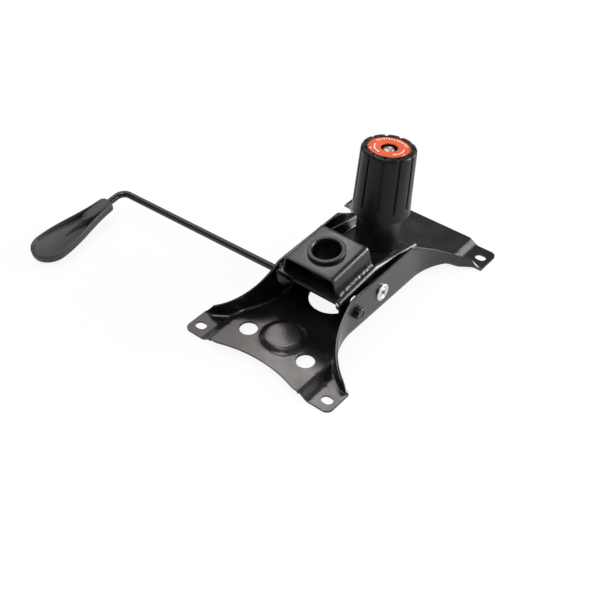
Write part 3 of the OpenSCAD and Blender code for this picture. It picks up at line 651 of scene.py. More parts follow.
def dress(obj, material, body, nodes=()):
    """Paints a piece, lets it ride on its body and hides the CAD nodes it stands for."""
    obj.data.materials.clear()
    obj.data.materials.append(material)
    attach(obj, body)
    if nodes:
        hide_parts(*nodes)
    return obj


# Seat plate

def wall_top(y):
    """Height of the side walls' edge, with both crests eased."""
    end = FLARE_END_Y + PLATE_T
    rear = line_through((-end, WALL_END_REAR), CREST_REAR, y)
    middle = line_through(CREST_REAR, CREST_FRONT, y)
    front = line_through(CREST_FRONT, (end, WALL_END_FRONT), y)
    return soft_min(soft_min(rear, middle, WALL_EDGE_EASE), front, WALL_EDGE_EASE)


def crease(share, width):
    """A straight slope from 0 to 1 with a tight bend at either end."""
    return -soft_min(-soft_min(share, 1.0, width), 0.0, width)


def pan_height(x, y):
    """Height of the sheet's top: pan, steps down to the tabs, boss and dome."""
    z = mix(PAN_H, PLATE_T, crease((abs(x) - PAN_HALF) / STEP_RUN, STEP_EASE))
    for centre, top_r, foot_r, rise in (BOSS, DOME):
        z += rise * (1.0 - crease((hypot(x, y - centre) - top_r) / (foot_r - top_r), RISE_EASE))
    return z


def tab_half(y):
    """Half width of the plate at the tabs' rounded corners."""
    over = max(y - (FRONT_Y - TAB_CORNER_R), (REAR_Y + TAB_CORNER_R) - y, 0.0)
    return TAB_X - TAB_CORNER_R + sqrt(max(TAB_CORNER_R ** 2 - over ** 2, 0.0))


def wall_share(y):
    """1 where the sheet stands up as a wall, 0 along the flat tabs."""
    return 1.0 - ramp(abs(y), FLARE_END_Y - RUN_OUT_START, FLARE_END_Y + RUN_OUT_END)


def edge_half(y, inset):
    """Half width of the plate at an inset from the wall's outer face."""
    if abs(y) <= FLARE_Y:
        return WALL_OUT - inset
    out = (FLARE_R + inset) ** 2 - (abs(y) - FLARE_Y) ** 2
    tab = tab_half(y) - inset
    if out <= 0.0:
        return tab
    return min(FLARE_X - sqrt(out), tab)


def rear_hollow(x):
    """How far the rear edge is drawn in at x, with soft shoulders."""
    r = (REAR_DIP_HALF ** 2 + REAR_DIP ** 2) / (2.0 * REAR_DIP)
    depth = REAR_DIP - (r - sqrt(r * r - min(abs(x), r * 0.9) ** 2))
    return 0.5 * (depth + sqrt(depth ** 2 + REAR_SHOULDER))


def plate_row(y, floor_steps=76, fillet_steps=5, wall_steps=9):
    """One row across the plate: left wall's edge, fillet, floor, fillet, right wall's edge."""
    share = wall_share(y)
    half = edge_half(y, PLATE_T + WALL_FILLET)
    face = edge_half(y, PLATE_T)
    edge = edge_half(y, 0.0)
    foot = pan_height(half, y)
    lip = max(wall_top(y) - foot, WALL_LIP)
    rise = min(WALL_FILLET, lip * FILLET_SHARE)
    wall = []
    for k in range(1, fillet_steps + 1):
        angle = pi / 2 * k / fillet_steps
        wall.append((mix(half, face, sin(angle)), foot + rise * (1.0 - cos(angle))))
    wall += [(face, foot + mix(rise, lip, k / wall_steps)) for k in range(1, wall_steps + 1)]
    side = []
    for k, (x, z) in enumerate(wall, 1):
        flat_x = mix(half, edge, k / len(wall))
        side.append((mix(flat_x, x, share), mix(pan_height(flat_x, y), z, share)))
    left = [(-x, z) for x, z in reversed(side)]
    floor = [(x, pan_height(x, y)) for x in spread(-half, half, floor_steps)]
    pull = 1.0 - ramp(y, REAR_Y, REAR_Y + REAR_REACH)
    return [(x, y + rear_hollow(x) * pull, z) for x, z in left + floor + side]


def plate_rows():
    """Places of the rows, close together round the tabs' corners and where the walls run out."""
    corner = [TAB_CORNER_R * (1.0 - cos(pi / 2 * t)) for t in spread(0.0, 1.0, 8)]
    rear = [REAR_Y + t for t in corner]
    front = [FRONT_Y - t for t in reversed(corner)]
    run_out = spread(FLARE_END_Y - 5.0, FLARE_END_Y + 1.0, 12)
    outer_rear = spread(rear[-1], -run_out[-1], 8)[1:-1]
    outer_front = spread(run_out[-1], front[0], 8)[1:-1]
    middle = spread(-run_out[0], run_out[0], 116)[1:-1]
    return rear + outer_rear + [-y for y in reversed(run_out)] + middle + run_out + outer_front + front


def slot_outline(half_straight, r, steps=10):
    """A slot with round ends along X."""
    right = arc((half_straight, 0), r, -pi / 2, pi / 2, steps)
    return right + [(-x, -y) for x, y in right]


def build_seat_plate():
    plate = skin("seat_plate_sheet", [plate_row(y) for y in plate_rows()], wrap=False)
    face_up(plate)
    thicken(plate, PLATE_T)
    cutters = []
    for x in (-BOLT_X, BOLT_X):
        for y in (-BOLT_Y, BOLT_Y):
            spot = Matrix.Translation((x, y, 0))
            outline = slot_outline((SLOT_L - SLOT_W) / 2, SLOT_W / 2)
            cutters.append(prism("slot", spot, outline, -PLATE_T, PLATE_T + CUT_OVER))
    for x in (-LIGHT_HOLE_X, LIGHT_HOLE_X):
        spot = Matrix.Translation((x, LIGHT_HOLE_Y, 0))
        cutters.append(lathe("light", spot, hole_profile(LIGHT_HOLE_R), 48))
    spot = Matrix.Translation((0, COLUMN_HOLE_Y, 0))
    cutters.append(lathe("column", spot, hole_profile(COLUMN_HOLE_R), 96))
    spot = Matrix.Translation((0, DOME[0], 0)) @ Matrix.Rotation(pi / 2, 4, 'Z')
    slot = slot_outline(BOLT_SLOT_HALF, BOLT_R + BOLT_GAP)
    cutters.append(prism("bolt_slot", spot, slot, PAN_H, PAN_H + DOME[3] + CUT_OVER))
    for y, z, r in ((PIVOT_Y, PIVOT_Z, AXLE_R), (LEVER_Y, LEVER_Z, BUSH_NECK_R)):
        cutters.append(lathe("bore", along_x(y, z), rod_profile(r, -TAB_X, TAB_X), 48))
    cut(plate, cutters)
    dress(plate, PAINT, "seat", ["seat_plate"])


def face_up(obj):
    """Points an open sheet's faces upwards, so that its thickness grows below and outside it."""
    if sum(p.normal.z * p.area for p in obj.data.polygons) < 0.0:
        obj.data.flip_normals()


# Tilt pivot

def build_pivot_axle():
    face = WALL_OUT + AXLE_HEAD_T
    half = rounded([
        (AXLE_R, 0, 0), (AXLE_R, WALL_OUT, 0), (AXLE_HEAD_R, WALL_OUT, 0.2),
        (AXLE_HEAD_R, face - 0.5, 0.6),
    ] + [(r, face - depth, ease_r) for r, depth, ease_r in RIVET_STEPS], 3)
    other = [(r, -z) for r, z in reversed(half)]
    axle = lathe("pivot_axle_turned", along_x(PIVOT_Y, PIVOT_Z), other + half, 64)
    dress(axle, ZINC, "seat", ["pivot_axle"])
    # The rivets' hollow middles are bare and rusty
    plugs = []
    for side in (-1, 1):
        cup = [(r, side * (face - depth)) for r, depth in RIVET_HOLLOW]
        plugs.append(lathe("plug", along_x(PIVOT_Y, PIVOT_Z), cup, 32))
    dress(join("pivot_axle_hollows", plugs), RUST, "seat")


def build_bushes():
    """The lever's bushes: a grooved button outside the right wall, a collar each side of the left one."""
    groove = [WALL_OUT + z for z in BUSH_GROOVE]
    tip = WALL_OUT + BUSH_PROUD
    right = rounded([
        (BUSH_BORE_R, WALL_IN, 0), (BUSH_NECK_R, WALL_IN, 0.2), (BUSH_NECK_R, WALL_OUT, 0),
        (BUSH_R, WALL_OUT, 0.3), (BUSH_R, groove[0], 0.4), (BUSH_NECK_R, groove[0], 0),
        (BUSH_NECK_R, groove[1], 0), (BUSH_R, groove[1], 0.4),
        (BUSH_R, tip, 1.1), (BUSH_BORE_R, tip, 0.2),
    ], 4)
    outside = -WALL_OUT - BUSH_COLLAR
    inside = -WALL_IN + BUSH_COLLAR
    left = rounded([
        (BUSH_BORE_R, outside, 0.2), (BUSH_R, outside, 0.6), (BUSH_R, -WALL_OUT, 0),
        (BUSH_NECK_R, -WALL_OUT, 0), (BUSH_NECK_R, -WALL_IN, 0), (BUSH_R, -WALL_IN, 0),
        (BUSH_R, inside, 0.6), (BUSH_BORE_R, inside, 0.2),
    ], 4)
    for side, profile in (("right", right), ("left", left)):
        bush = lathe("lever_bush_%s_turned" % side, along_x(LEVER_Y, LEVER_Z), profile, 48)
        dress(bush, ROD_PAINT, "seat", ["lever_bush_" + side])


# Tilt bracket

def bracket_top(y):
    """Height of the bracket's back, eased over at the crest."""
    web = CREST_Z - (CREST_Y - y) * tan(WEB_SLOPE)
    rim = CREST_Z - (y - CREST_Y) * tan(RIM_SLOPE)
    return soft_min(web, rim, CREST_EASE)


def pocket_floor(y):
    """Height of the pocket's floor, square to the knob's axis."""
    return CUP_Z + (CUP_Y - y) * tan(KNOB_LEAN)


def bracket_height(x, y):
    """Height of the bracket's outer face: its back with the pocket pressed into the front."""
    top = bracket_top(y)
    deep = ramp(y, CREST_Y + POCKET_LEAD, CREST_Y + POCKET_START)
    wide = 1.0 - ramp(abs(x), POCKET_HALF - POCKET_SIDE_IN, POCKET_HALF + POCKET_SIDE_OUT)
    return mix(top, min(pocket_floor(y), top), deep * wide)


def flange_edge(y, rear, front):
    """Lower edge of the bracket's flanges."""
    rear_slope = FLANGE_LOW + FLANGE_REAR_RISE * (1.0 - (y - rear) / FLANGE_REAR_RUN)
    front_start = PIVOT_Y + 2 * PIVOT_TUBE_R
    front_slope = FLANGE_LOW + FLANGE_FRONT_RISE * (y - front_start) / (front - front_start)
    return max(FLANGE_LOW, rear_slope, front_slope)


def bracket_row(y, rear, front):
    """One row across the bracket: left flange's edge, bend, back, bend, right flange's edge."""
    low = flange_edge(y, rear, front)
    bend_x = BRACKET_HALF - BRACKET_BEND_R
    top = bracket_top(y)
    bend_z = top - BRACKET_BEND_R
    side = arc((bend_x, bend_z), BRACKET_BEND_R, pi / 2, 0.0, 5)
    side += [(BRACKET_HALF, z) for z in spread(bend_z, low, 8)[1:]]
    left = [(-x, z) for x, z in reversed(side)]
    middle = [(x, bracket_height(x, y)) for x in bracket_columns(bend_x)]
    return [(x, y, z) for x, z in left + middle + side]


def bracket_columns(edge):
    """Columns across the back, close together at the pocket's sides."""
    wall = spread(POCKET_HALF - 2.6, edge - 0.25, 9)
    return [-x for x in reversed(wall)] + spread(-POCKET_HALF + 4.0, POCKET_HALF - 4.0, 20) + wall


def build_tilt_bracket():
    rear = CREST_Y - WEB_L * cos(WEB_SLOPE)
    front = CREST_Y + RIM_L * cos(RIM_SLOPE)
    # Rows across the bracket, closer together at the rear slope, the crest and the pocket's start
    places = spread(rear, rear + FLANGE_REAR_RUN, 8) + spread(rear + 13.0, CREST_Y - 2.0, 24)
    places += spread(CREST_Y - 1.2, CREST_Y + POCKET_START + 1.0, 20)
    places += spread(CREST_Y + POCKET_START + 2.5, front, 32)
    bracket = skin("tilt_bracket_sheet", [bracket_row(y, rear, front) for y in places], wrap=False)
    face_up(bracket)
    thicken(bracket, BRACKET_T, 0.4)
    far = BRACKET_HALF + CUT_OVER
    cut(bracket, [
        lathe("tube", along_x(PIVOT_Y, PIVOT_Z), rod_profile(PIVOT_TUBE_R, -far, far), 48),
        lathe("socket", ON_SOCKET, rod_profile(SOCKET_R, -BOX_H, BOX_H), 64),
        lathe("bolt", ON_KNOB, rod_profile(BOLT_R + BOLT_PASS, -BOLT_CUT, BOLT_CUT), 48),
    ])
    cut(bracket, [
        lever_slot(-far, 0.0, ROD_R + ROD_SLOT_GAP),
        lever_slot(0.0, far, LOCK_R + LOCK_SLOT_GAP),
    ])
    dress(bracket, PAINT, "bracket", ["tilt_bracket"])


def lever_slot(x0, x1, r):
    """A curved slot through one flange, along the lever's path as the bracket tilts about the pivot."""
    pivot = (PIVOT_Y, PIVOT_Z)
    arm = Vector((LEVER_Y, LEVER_Z)) - Vector(pivot)
    first = atan2(arm.y, arm.x)
    last = first - TILT_RANGE
    start, end = arc(pivot, arm.length, first, last, 1)
    outline = arc(pivot, arm.length + r, first, last, 6)
    outline += arc(end, r, last, last - pi, 8)[1:-1]
    outline += arc(pivot, arm.length - r, last, first, 6)
    outline += arc(start, r, first + pi, first, 8)[1:-1]
    to_yz = Matrix(((0, 0, 1, 0), (1, 0, 0, 0), (0, 1, 0, 0), (0, 0, 0, 1)))
    return prism("lever_slot", to_yz, outline, x0, x1)


# Gas lift socket

def box_profile(inset):
    """Outer or inner outline of the flared box, from its right foot over the top to its left foot."""
    lean = atan2(BOX_FOOT_HALF - BOX_TOP_HALF, BOX_H)
    side = inset / cos(lean)
    corner = BOX_TOP_HALF - side + inset * tan(lean)
    r = BOX_BEND_R - inset
    return rounded([
        (BOX_FOOT_HALF - side, 0, 0), (corner, BOX_H - inset, r),
        (-corner, BOX_H - inset, r), (-BOX_FOOT_HALF + side, 0, 0),
    ], 7)


def build_socket_box():
    outline = box_profile(0.0) + box_profile(BOX_T)[::-1]
    to_web = ON_WEB @ Matrix.Rotation(pi / 2, 4, 'X')
    box = prism("socket_box_pressing", to_web, outline, 0.0, BOX_L, steps=16)
    ease(box, 0.5)
    cut(box, [lathe("hole", ON_SOCKET, rod_profile(SOCKET_R, BRACKET_T, 2 * BOX_H), 64)])
    dress(box, BOX_PAINT, "bracket", ["socket_box"])


def build_socket_tube():
    top = BOX_H + SOCKET_PROUD
    low = top - SOCKET_L
    profile = rounded([
        (SOCKET_BORE_R, low, 0.4), (SOCKET_R, low, 0.6), (SOCKET_R, top, 1.0),
        (SOCKET_BORE_R + 1.0, top, 0.5), (SOCKET_BORE_R, top - 1.2, 0.5),
    ], 4)
    tube = lathe("socket_tube_turned", ON_SOCKET, profile, 96)
    dress(tube, CUP_PAINT, "bracket", ["socket_tube"])


def bead_radius(i):
    """Radius of the weld beads at a step along them."""
    return WELD_R + sum(size * sin(i * rate + phase) for size, rate, phase in WELD_RIPPLES)


def build_welds():
    """Rippled weld beads along both feet of the box."""
    (slow, slow_rate), (quick, quick_rate) = WELD_WANDER
    beads = []
    for side in (-1, 1):
        path = []
        for i in range(WELD_STEPS + 1):
            y = -mix(WELD_END, BOX_L - WELD_END, i / WELD_STEPS)
            wander = slow * sin(i * slow_rate + side) + quick * sin(i * quick_rate)
            path.append(ON_WEB @ Vector((side * (BOX_FOOT_HALF + WELD_OUT + wander), y, WELD_LIFT)))
        beads.append(sweep("weld", path, bead_radius, 12, sharp=80.0))
    dress(join("box_weld_beads", beads), WELD_SPECKLE_AND_GLINTS, "bracket", ["box_welds"])


def join(name, parts, sharp=60.0):
    """Joins several meshes into one piece."""
    work = bmesh.new()
    for part in parts:
        work.from_mesh(part.data)
        bpy.data.objects.remove(part)
    mesh = bpy.data.meshes.new(name)
    work.to_mesh(mesh)
    work.free()
    mesh.set_sharp_from_angle(angle=radians(sharp))
    obj = bpy.data.objects.new(name, mesh)
    bpy.context.scene.collection.objects.link(obj)
    return obj


# Tension knob

def build_spring_cup():
    profile = rounded([
        (BOLT_R + BOLT_PASS, 0, 0.3), (CUP_R, 0, 1.2), (CUP_R, CUP_H, 0.5),
        (CUP_R - CUP_WALL, CUP_H, 0.5), (CUP_R - CUP_WALL, CUP_FLOOR, 1.0),
        (BOLT_R + BOLT_PASS, CUP_FLOOR, 0.3),
    ], 5)
    cup = lathe("spring_cup_drawn", ON_KNOB, profile, 96)
    dress(cup, CUP_PAINT, "bracket", ["spring_cup"])


def knob_profile():
    """(radius, height) from the skirt's inside, up the outside and over the rim to the label's seat."""
    seat = LABEL_TOP - LABEL_T
    return rounded([
        (KNOB_BORE_R, KNOB_LIFT, 0.4), (KNOB_SKIRT_R, KNOB_LIFT, 1.0),
        (KNOB_TOP_R, KNOB_TOP, KNOB_SHOULDER_R), (LABEL_R + LABEL_GAP, KNOB_TOP, 0.4),
        (LABEL_R + LABEL_GAP, seat, 0), (RECESS_R, seat, 0),
        (RECESS_R, KNOB_TOP - RECESS_DEPTH, 0.5), (BOLT_R + NUT_GAP, KNOB_TOP - RECESS_DEPTH, 0),
        (BOLT_R + NUT_GAP, KNOB_CEILING, 0), (KNOB_BORE_R, KNOB_CEILING, 0.5),
    ], 7)


def groove_cut(angle, r, z):
    """Depth of the grip grooves at an angle about the axis, a radius and a height."""
    sector = 2 * pi / GROOVE_COUNT
    off = abs((angle / sector + 0.5) % 1.0 - 0.5) * sector * r
    up = z - KNOB_LIFT - GROOVE_STOP
    crown = ramp(z, KNOB_TOP - GROOVE_CROWN, KNOB_TOP - 1.0)
    half = GROOVE_HALF * (1.0 + GROOVE_WIDER * crown)
    reach = hypot(off, min(up, 0.0))
    groove = 1.0 - ramp(reach, half * GROOVE_FLAT, half * GROOVE_EDGE)
    # Between the grooves the grip pads are a little barrelled
    pad = PAD_CROWN * (2.0 * off / (sector * r) - 1.0) ** 2 * ramp(up, 0.0, PAD_RUN)
    return GROOVE_DEPTH * mix(1.0, GROOVE_SHALLOWER, crown) * groove + pad


def outer_skin(profile):
    """The profile from the skirt's foot to the rim, in short steps, each with its outward normal."""
    first = profile.index(max(profile, key=lambda p: p[0]))
    last = max(i for i, p in enumerate(profile) if p[1] > KNOB_TOP - 0.001)
    points = []
    for (r0, z0), (r1, z1) in zip(profile[first:last], profile[first + 1:last + 1]):
        steps = max(1, int(hypot(r1 - r0, z1 - z0) / SKIN_STEP))
        points += [(mix(r0, r1, k / steps), mix(z0, z1, k / steps)) for k in range(steps)]
    points.append(profile[last])
    outside = []
    for i, (r, z) in enumerate(points):
        before = points[max(i - 1, 0)]
        after = points[min(i + 1, len(points) - 1)]
        along = Vector((after[0] - before[0], after[1] - before[1])).normalized()
        outside.append((r, z, along.y, -along.x))
    return profile[:first], outside, profile[last + 1:]


def knob_angles():
    """Angles about the knob, close together at the grooves."""
    sector = 2 * pi / GROOVE_COUNT
    half = GROOVE_HALF / KNOB_TOP_R
    offsets = sorted({-half * t for t in GROOVE_LINES} | {half * t for t in GROOVE_LINES})
    return [sector * i + t for i in range(GROOVE_COUNT) for t in offsets + [sector / 2]]


def build_knob():
    angles = knob_angles()
    inside, outside, top = outer_skin(knob_profile())
    rows = [ring(angles, r, z) for r, z in inside]
    for r, z, out_r, out_z in outside:
        row = []
        for a in angles:
            depth = groove_cut(a, r, z)
            row += ring([a], r - depth * out_r, z - depth * out_z)
        rows.append(row)
    rows += [ring(angles, r, z) for r, z in top + inside[:1]]
    knob = skin("tension_knob_moulding", [place(ON_KNOB, row) for row in rows], sharp=40.0)
    dress(knob, KNOB_PLASTIC, "knob", ["tension_knob"])


def build_label():
    seat = LABEL_TOP - LABEL_T
    profile = rounded([
        (RECESS_R, seat, 0), (LABEL_R, seat, 0), (LABEL_R, LABEL_TOP, 0.2), (RECESS_R, LABEL_TOP, 0.3),
    ], 3)
    label = lathe("knob_label_disc", ON_KNOB, profile, 96)
    dress(label, LABEL, "knob", ["knob_label"])
    more, less = MARK_ANGLES
    marks = curved_arrow(more, 1) + curved_arrow(less, -1)
    marks += sign_mark(more, True) + sign_mark(less, False)
    for i in range(-TICKS_EACH_WAY, TICKS_EACH_WAY + 1):
        out = Vector(ring_point(radians(TICKS_MIDDLE + TICK_STEP * i), 1.0))
        inner = TICK_SHORT_IN if i % 2 else TICK_LONG_IN
        marks.append(bar(out * ((TICK_OUT + inner) / 2), out, (TICK_OUT - inner) / 2, TICK_HALF))
    piece = flat_marks("knob_label_marks", marks)
    dress(piece, MARKS, "knob")


def ring_point(angle, r):
    """A point on the label, by its angle and radius."""
    return (r * cos(angle), r * sin(angle))


def curved_arrow(middle, way):
    """A curved arrow about the axis, one way round or the other: a bent ribbon and its head."""
    reach = ARROW_REACH * way
    start = middle - reach
    end = middle + reach * ARROW_NECK
    wing = ARROW_HEAD * ARROW_HALF
    outer = arc((0, 0), ARROW_R + ARROW_HALF, start, end, 14)
    inner = arc((0, 0), ARROW_R - ARROW_HALF, end, start, 14)
    tip = ring_point(middle + reach, ARROW_R)
    head = [ring_point(end, ARROW_R + wing), tip, ring_point(end, ARROW_R - wing)]
    return [outer + inner, head]


def sign_mark(angle, plus):
    """A plain plus or minus."""
    out = Vector(ring_point(angle, 1.0))
    along = Vector((-out.y, out.x))
    bars = [bar(out * SIGN_R, along, SIGN_REACH, SIGN_HALF)]
    if plus:
        for arm in (SIGN_ARM, -SIGN_ARM):
            bars.append(bar(out * (SIGN_R + arm), out, SIGN_ARM_REACH, SIGN_HALF))
    return bars


def bar(centre, along, reach, half):
    """A straight stroke, by its middle, its direction and half its length and width."""
    side = Vector((-along.y, along.x)) * half
    start = centre - along * reach
    end = centre + along * reach
    return [(p.x, p.y) for p in (start - side, end - side, end + side, start + side)]


def flat_marks(name, outlines):
    """Thin printed marks just proud of the label."""
    verts = []
    faces = []
    for outline in outlines:
        first = len(verts)
        count = len(outline)
        for z in (LABEL_TOP - PRINT_SINK, LABEL_TOP + PRINT_PROUD):
            verts += [(x, y, z) for x, y in outline]
        faces += [tuple(first + i for i in face) for face in grid_faces(2, count, True)]
        faces.append(tuple(range(first, first + count)))
        faces.append(tuple(range(first + count, first + 2 * count)))
    return make_piece(name, place(ON_KNOB, verts), faces)


def build_bolt():
    """The tension bolt: hexagon head, plain shank and a threaded end with a centre dimple."""
    low = BOLT_HEAD_TOP - BOLT_HEAD_H / 2
    rows = [(0.0, low, 0.0), (BOLT_R, low, 0.0), (BOLT_R, THREAD_START - THREAD_LEAD, 0.0)]
    lines = int((BOLT_TOP - THREAD_START) / THREAD_PITCH * THREAD_LINES)
    for z in spread(THREAD_START, BOLT_TOP - 0.2, lines):
        limit = BOLT_R - 0.1 - max(0.0, z - (BOLT_TOP - BOLT_CHAMFER))
        rows.append((limit, z, THREAD_DEPTH * ramp(z, THREAD_START, THREAD_START + THREAD_LEAD)))
    rows += [(r, BOLT_TOP + rise, 0.0) for r, rise in BOLT_END]
    rings = []
    for r, z, depth in rows:
        row = []
        for i in range(BOLT_SIDES):
            phase = (z / THREAD_PITCH - i / BOLT_SIDES) % 1.0
            row += ring([2 * pi * i / BOLT_SIDES], r - depth * abs(2.0 * phase - 1.0), z)
        rings.append(place(ON_KNOB, row))
    shank = skin("shank", rings, sharp=50.0)
    base = BOLT_HEAD_TOP - BOLT_HEAD_H
    hexagon = [
        (0, base), (BOLT_HEAD_R - 1.2, base), (BOLT_HEAD_R, base + 0.8),
        (BOLT_HEAD_R, BOLT_HEAD_TOP), (0, BOLT_HEAD_TOP),
    ]
    head = lathe("head", ON_KNOB, hexagon, 6, sharp=20.0)
    bolt = join("tension_bolt_turned", [shank, head])
    dress(bolt, YELLOW_ZINC, "anchor", ["tension_bolt"])


def spring_rise(turn):
    """Height of the wire's middle after a number of turns; the first and last turn are closed."""
    pitch = (SPRING_TOP - SPRING_FOOT - 3 * SPRING_WIRE) / (SPRING_TURNS - 2)
    active = min(max(turn - 1.0, 0.0), SPRING_TURNS - 2.0)
    closed = min(turn, 1.0) + max(turn - SPRING_TURNS + 1.0, 0.0)
    return SPRING_FOOT + SPRING_WIRE * (0.5 + closed) + pitch * active


def spring_length(name, first, last):
    """One length of the spring's wire, between two numbers of turns."""
    path = []
    for turn in spread(first, last, round(SPRING_LINES * (last - first))):
        path += place(ON_KNOB, ring([2 * pi * turn], SPRING_R, spring_rise(turn)))
    return sweep(name, path, SPRING_WIRE / 2 - SPRING_CLEAR, 12, sharp=60.0)


def build_spring():
    """The tension spring, split into a lower and an upper length: on the chair the lower closes up as the
    bracket tilts, the upper as the knob turns.
    """
    split = next(t for t in spread(0.0, SPRING_TURNS, 700) if spring_rise(t) > SPRING_SPLIT)
    lower = spring_length("tension_spring_lower", 0.0, split - SPRING_SPLIT_GAP)
    upper = spring_length("tension_spring_upper", split + SPRING_SPLIT_GAP, SPRING_TURNS)
    squeeze(lower)
    squeeze(upper)
    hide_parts("tension_spring")


def squeeze(obj):
    """Gives a length of the spring its steel and bakes its place into its mesh."""
    obj.data.materials.append(SPRING_STEEL)
    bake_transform(obj)


# Lever

def build_lever_rod():
    inner = [Vector((x, LEVER_Y, LEVER_Z)) for x in spread(ROD_END, -DROOP_START + DROOP_EASE, 20)]
    # The rod eases into its droop
    ease_points = []
    for t in spread(0.0, 1.0, 8)[1:-1]:
        a = Vector((-DROOP_START + mix(DROOP_EASE, 0.0, t), LEVER_Y, LEVER_Z))
        b = ON_OUTER_ROD @ Vector((OUTER_ROD_L - mix(0.0, DROOP_EASE, t), 0, 0))
        ease_points.append(a.lerp(b, t))
    outer = [ON_OUTER_ROD @ Vector((x, 0, 0)) for x in spread(OUTER_ROD_L - DROOP_EASE, 0.0, 40)]
    bend = []
    for a in spread(0.0, pi / 2, 14)[1:]:
        bend.append(ON_BEND @ Vector((-ROD_BEND_R * sin(a), -ROD_BEND_R * (1.0 - cos(a)), 0)))
    leg = [ON_LEG @ Vector((0, -y, 0)) for y in spread(0.0, ROD_NECK + ROD_GRIP - 1.0, 16)[1:]]
    rod = sweep("lever_rod_bar", inner + ease_points + outer + bend + leg, ROD_R, 32)
    dress(rod, ROD_PAINT, "lever", ["lever_rod"])


def handle_half(y):
    """Half width of the handle at a distance from its root."""
    spoon = HANDLE_L - HANDLE_TIP_R
    if y <= spoon:
        return mix(HANDLE_ROOT_HALF, HANDLE_TIP_R, 0.5 - 0.5 * cos(pi * y / spoon))
    return sqrt(max(HANDLE_TIP_R ** 2 - (y - spoon) ** 2, 0.0))


def handle_outline():
    """Plan of the handle from its root's right corner round the tip and back, as (x, distance)."""
    spoon = HANDLE_L - HANDLE_TIP_R
    corner = arc((HANDLE_ROOT_HALF - HANDLE_ROOT_R, HANDLE_ROOT_R), HANDLE_ROOT_R, -pi / 2, 0.0, 6)
    flank = [(handle_half(y), y) for y in spread(HANDLE_ROOT_R, spoon, 36)[1:-1]]
    tip = arc((0, spoon), HANDLE_TIP_R, 0.0, pi, 40)
    right = corner + flank
    return right + tip + [(-x, y) for x, y in reversed(right)]


def drawn_in(outline, inset):
    """The outline moved inwards by an inset."""
    count = len(outline)
    moved = []
    for i, (x, y) in enumerate(outline):
        before = outline[i - 1]
        after = outline[(i + 1) % count]
        along = Vector((after[0] - before[0], after[1] - before[1])).normalized()
        moved.append((x - along.y * inset, y + along.x * inset))
    return moved


def handle_floor(y):
    """Height of the dish's floor, which rises towards the spoon."""
    return mix(HANDLE_FLOOR, SPOON_FLOOR, ramp(y, *SPOON_RAMP))


def build_handle():
    """A shallow spoon with a rounded rim, and a rib that houses the rod and runs out to a point."""
    outline = handle_outline()
    verts = [(x, -y, z) for inset, z in HANDLE_SHELL for x, y in drawn_in(outline, inset)]
    for inset, lift in HANDLE_COVE:
        verts += [(x, -y, handle_floor(y) + lift) for x, y in drawn_in(outline, inset)]
    count = len(outline)
    rings = len(verts) // count
    faces = grid_faces(rings, count, True)
    faces.append(tuple(range(count)))
    # The floor is bridged from flank to flank, because it isn't flat
    inner = (rings - 1) * count
    faces += [(inner + i, inner + i + 1, inner + count - 2 - i, inner + count - 1 - i)
              for i in range(count // 2 - 1)]
    dish = make_piece("dish", place(ON_HANDLE, verts), faces, sharp=45.0)
    handle = join("lever_handle_moulding", [dish, handle_rib()])
    dress(handle, HANDLE_PLASTIC, "lever", ["lever_handle"])


def handle_rib(across=20):
    """The rib: a rounded block at the root, then a roof that narrows to a ridge and a point."""
    base = HANDLE_FLOOR - 1.0
    rows = []
    for y in spread(RIB_START, RIB_L, 44):
        dull = 1.0 - ramp(y, RIB_START, RIB_EASE)
        tail = min(max((y - RIB_TAIL) / (RIB_L - RIB_TAIL), 0.0), 1.0)
        block = mix(RIB_ROOT_HALF, RIB_TAIL_HALF, min(y / RIB_TAIL, 1.0))
        half = block * (1.0 - tail) * (1.0 - RIB_END_NARROWER * dull) + RIB_POINT_HALF
        high = mix(RIB_TOP, handle_floor(y) + RIB_POINT_RISE, tail) - RIB_END_LOWER * dull
        power = mix(RIB_BLOCK_POWER, RIB_ROOF_POWER, ramp(tail, 0.0, RIB_POWER_RUN))
        rows.append([(half * u, -y, base + (high - base) * (1.0 - abs(u) ** power) ** (1.0 / power))
                     for u in spread(-1.0, 1.0, across)])
    verts = place(ON_HANDLE, [p for row in rows for p in row])
    count = across + 1
    faces = grid_faces(len(rows), count, False)
    faces.append(tuple(range(count)))
    faces.append(tuple(range((len(rows) - 1) * count, len(rows) * count)))
    faces += [(j * count, (j + 1) * count, (j + 2) * count - 1, (j + 1) * count - 1)
              for j in range(len(rows) - 1)]
    return make_piece("rib", verts, faces, sharp=28.0)


# Hidden hardware keeps its CAD shape

def dress_hardware():
    """Gives the CAD pieces that stay their own materials."""
    looks = {
        "pivot_tube": PAINT, "pivot_washers": NYLON, "lower_spring_seat": ZINC,
        "rocker_washer": ZINC, "thrust_washer": ZINC, "knob_nut": ZINC,
        "lock_collar": ZINC, "button_tongue": PAINT, "retaining_clips": ZINC,
    }
    for node, material in looks.items():
        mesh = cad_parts[node].data
        mesh.materials.clear()
        mesh.materials.append(material)


# Floor, light and camera

# Brightness of the studio dome against the sine of the height above the horizon
DOME_LEVELS = ((0.0, 0.9), (0.2, 0.75), (0.34, 0.24), (0.74, 0.24), (0.86, 0.6), (1.0, 0.7))
# The studio's end towards -Y and +X is hung with black cloth: its direction, where it starts and is
# full against the cosine off that direction, and what it leaves of the dome's light
DARK_END = (0.59, -0.81, 0.0)
CLOTH_EDGE = (0.35, 0.85)
CLOTH_LEVEL = 0.12

FLOOR_HALF = 9000.0
FLOOR_DROP = 0.05
FLOOR_GREY = (0.88, 0.88, 0.88, 1)
FLOOR_ROUGH = 0.9
# How much of the floor is plain white to the camera, and in gloss; the rest is lit and shaded
FLOOR_WHITE = (("Is Camera Ray", 0.9), ("Is Glossy Ray", 0.55))
WHITE = (1, 1, 1, 1)

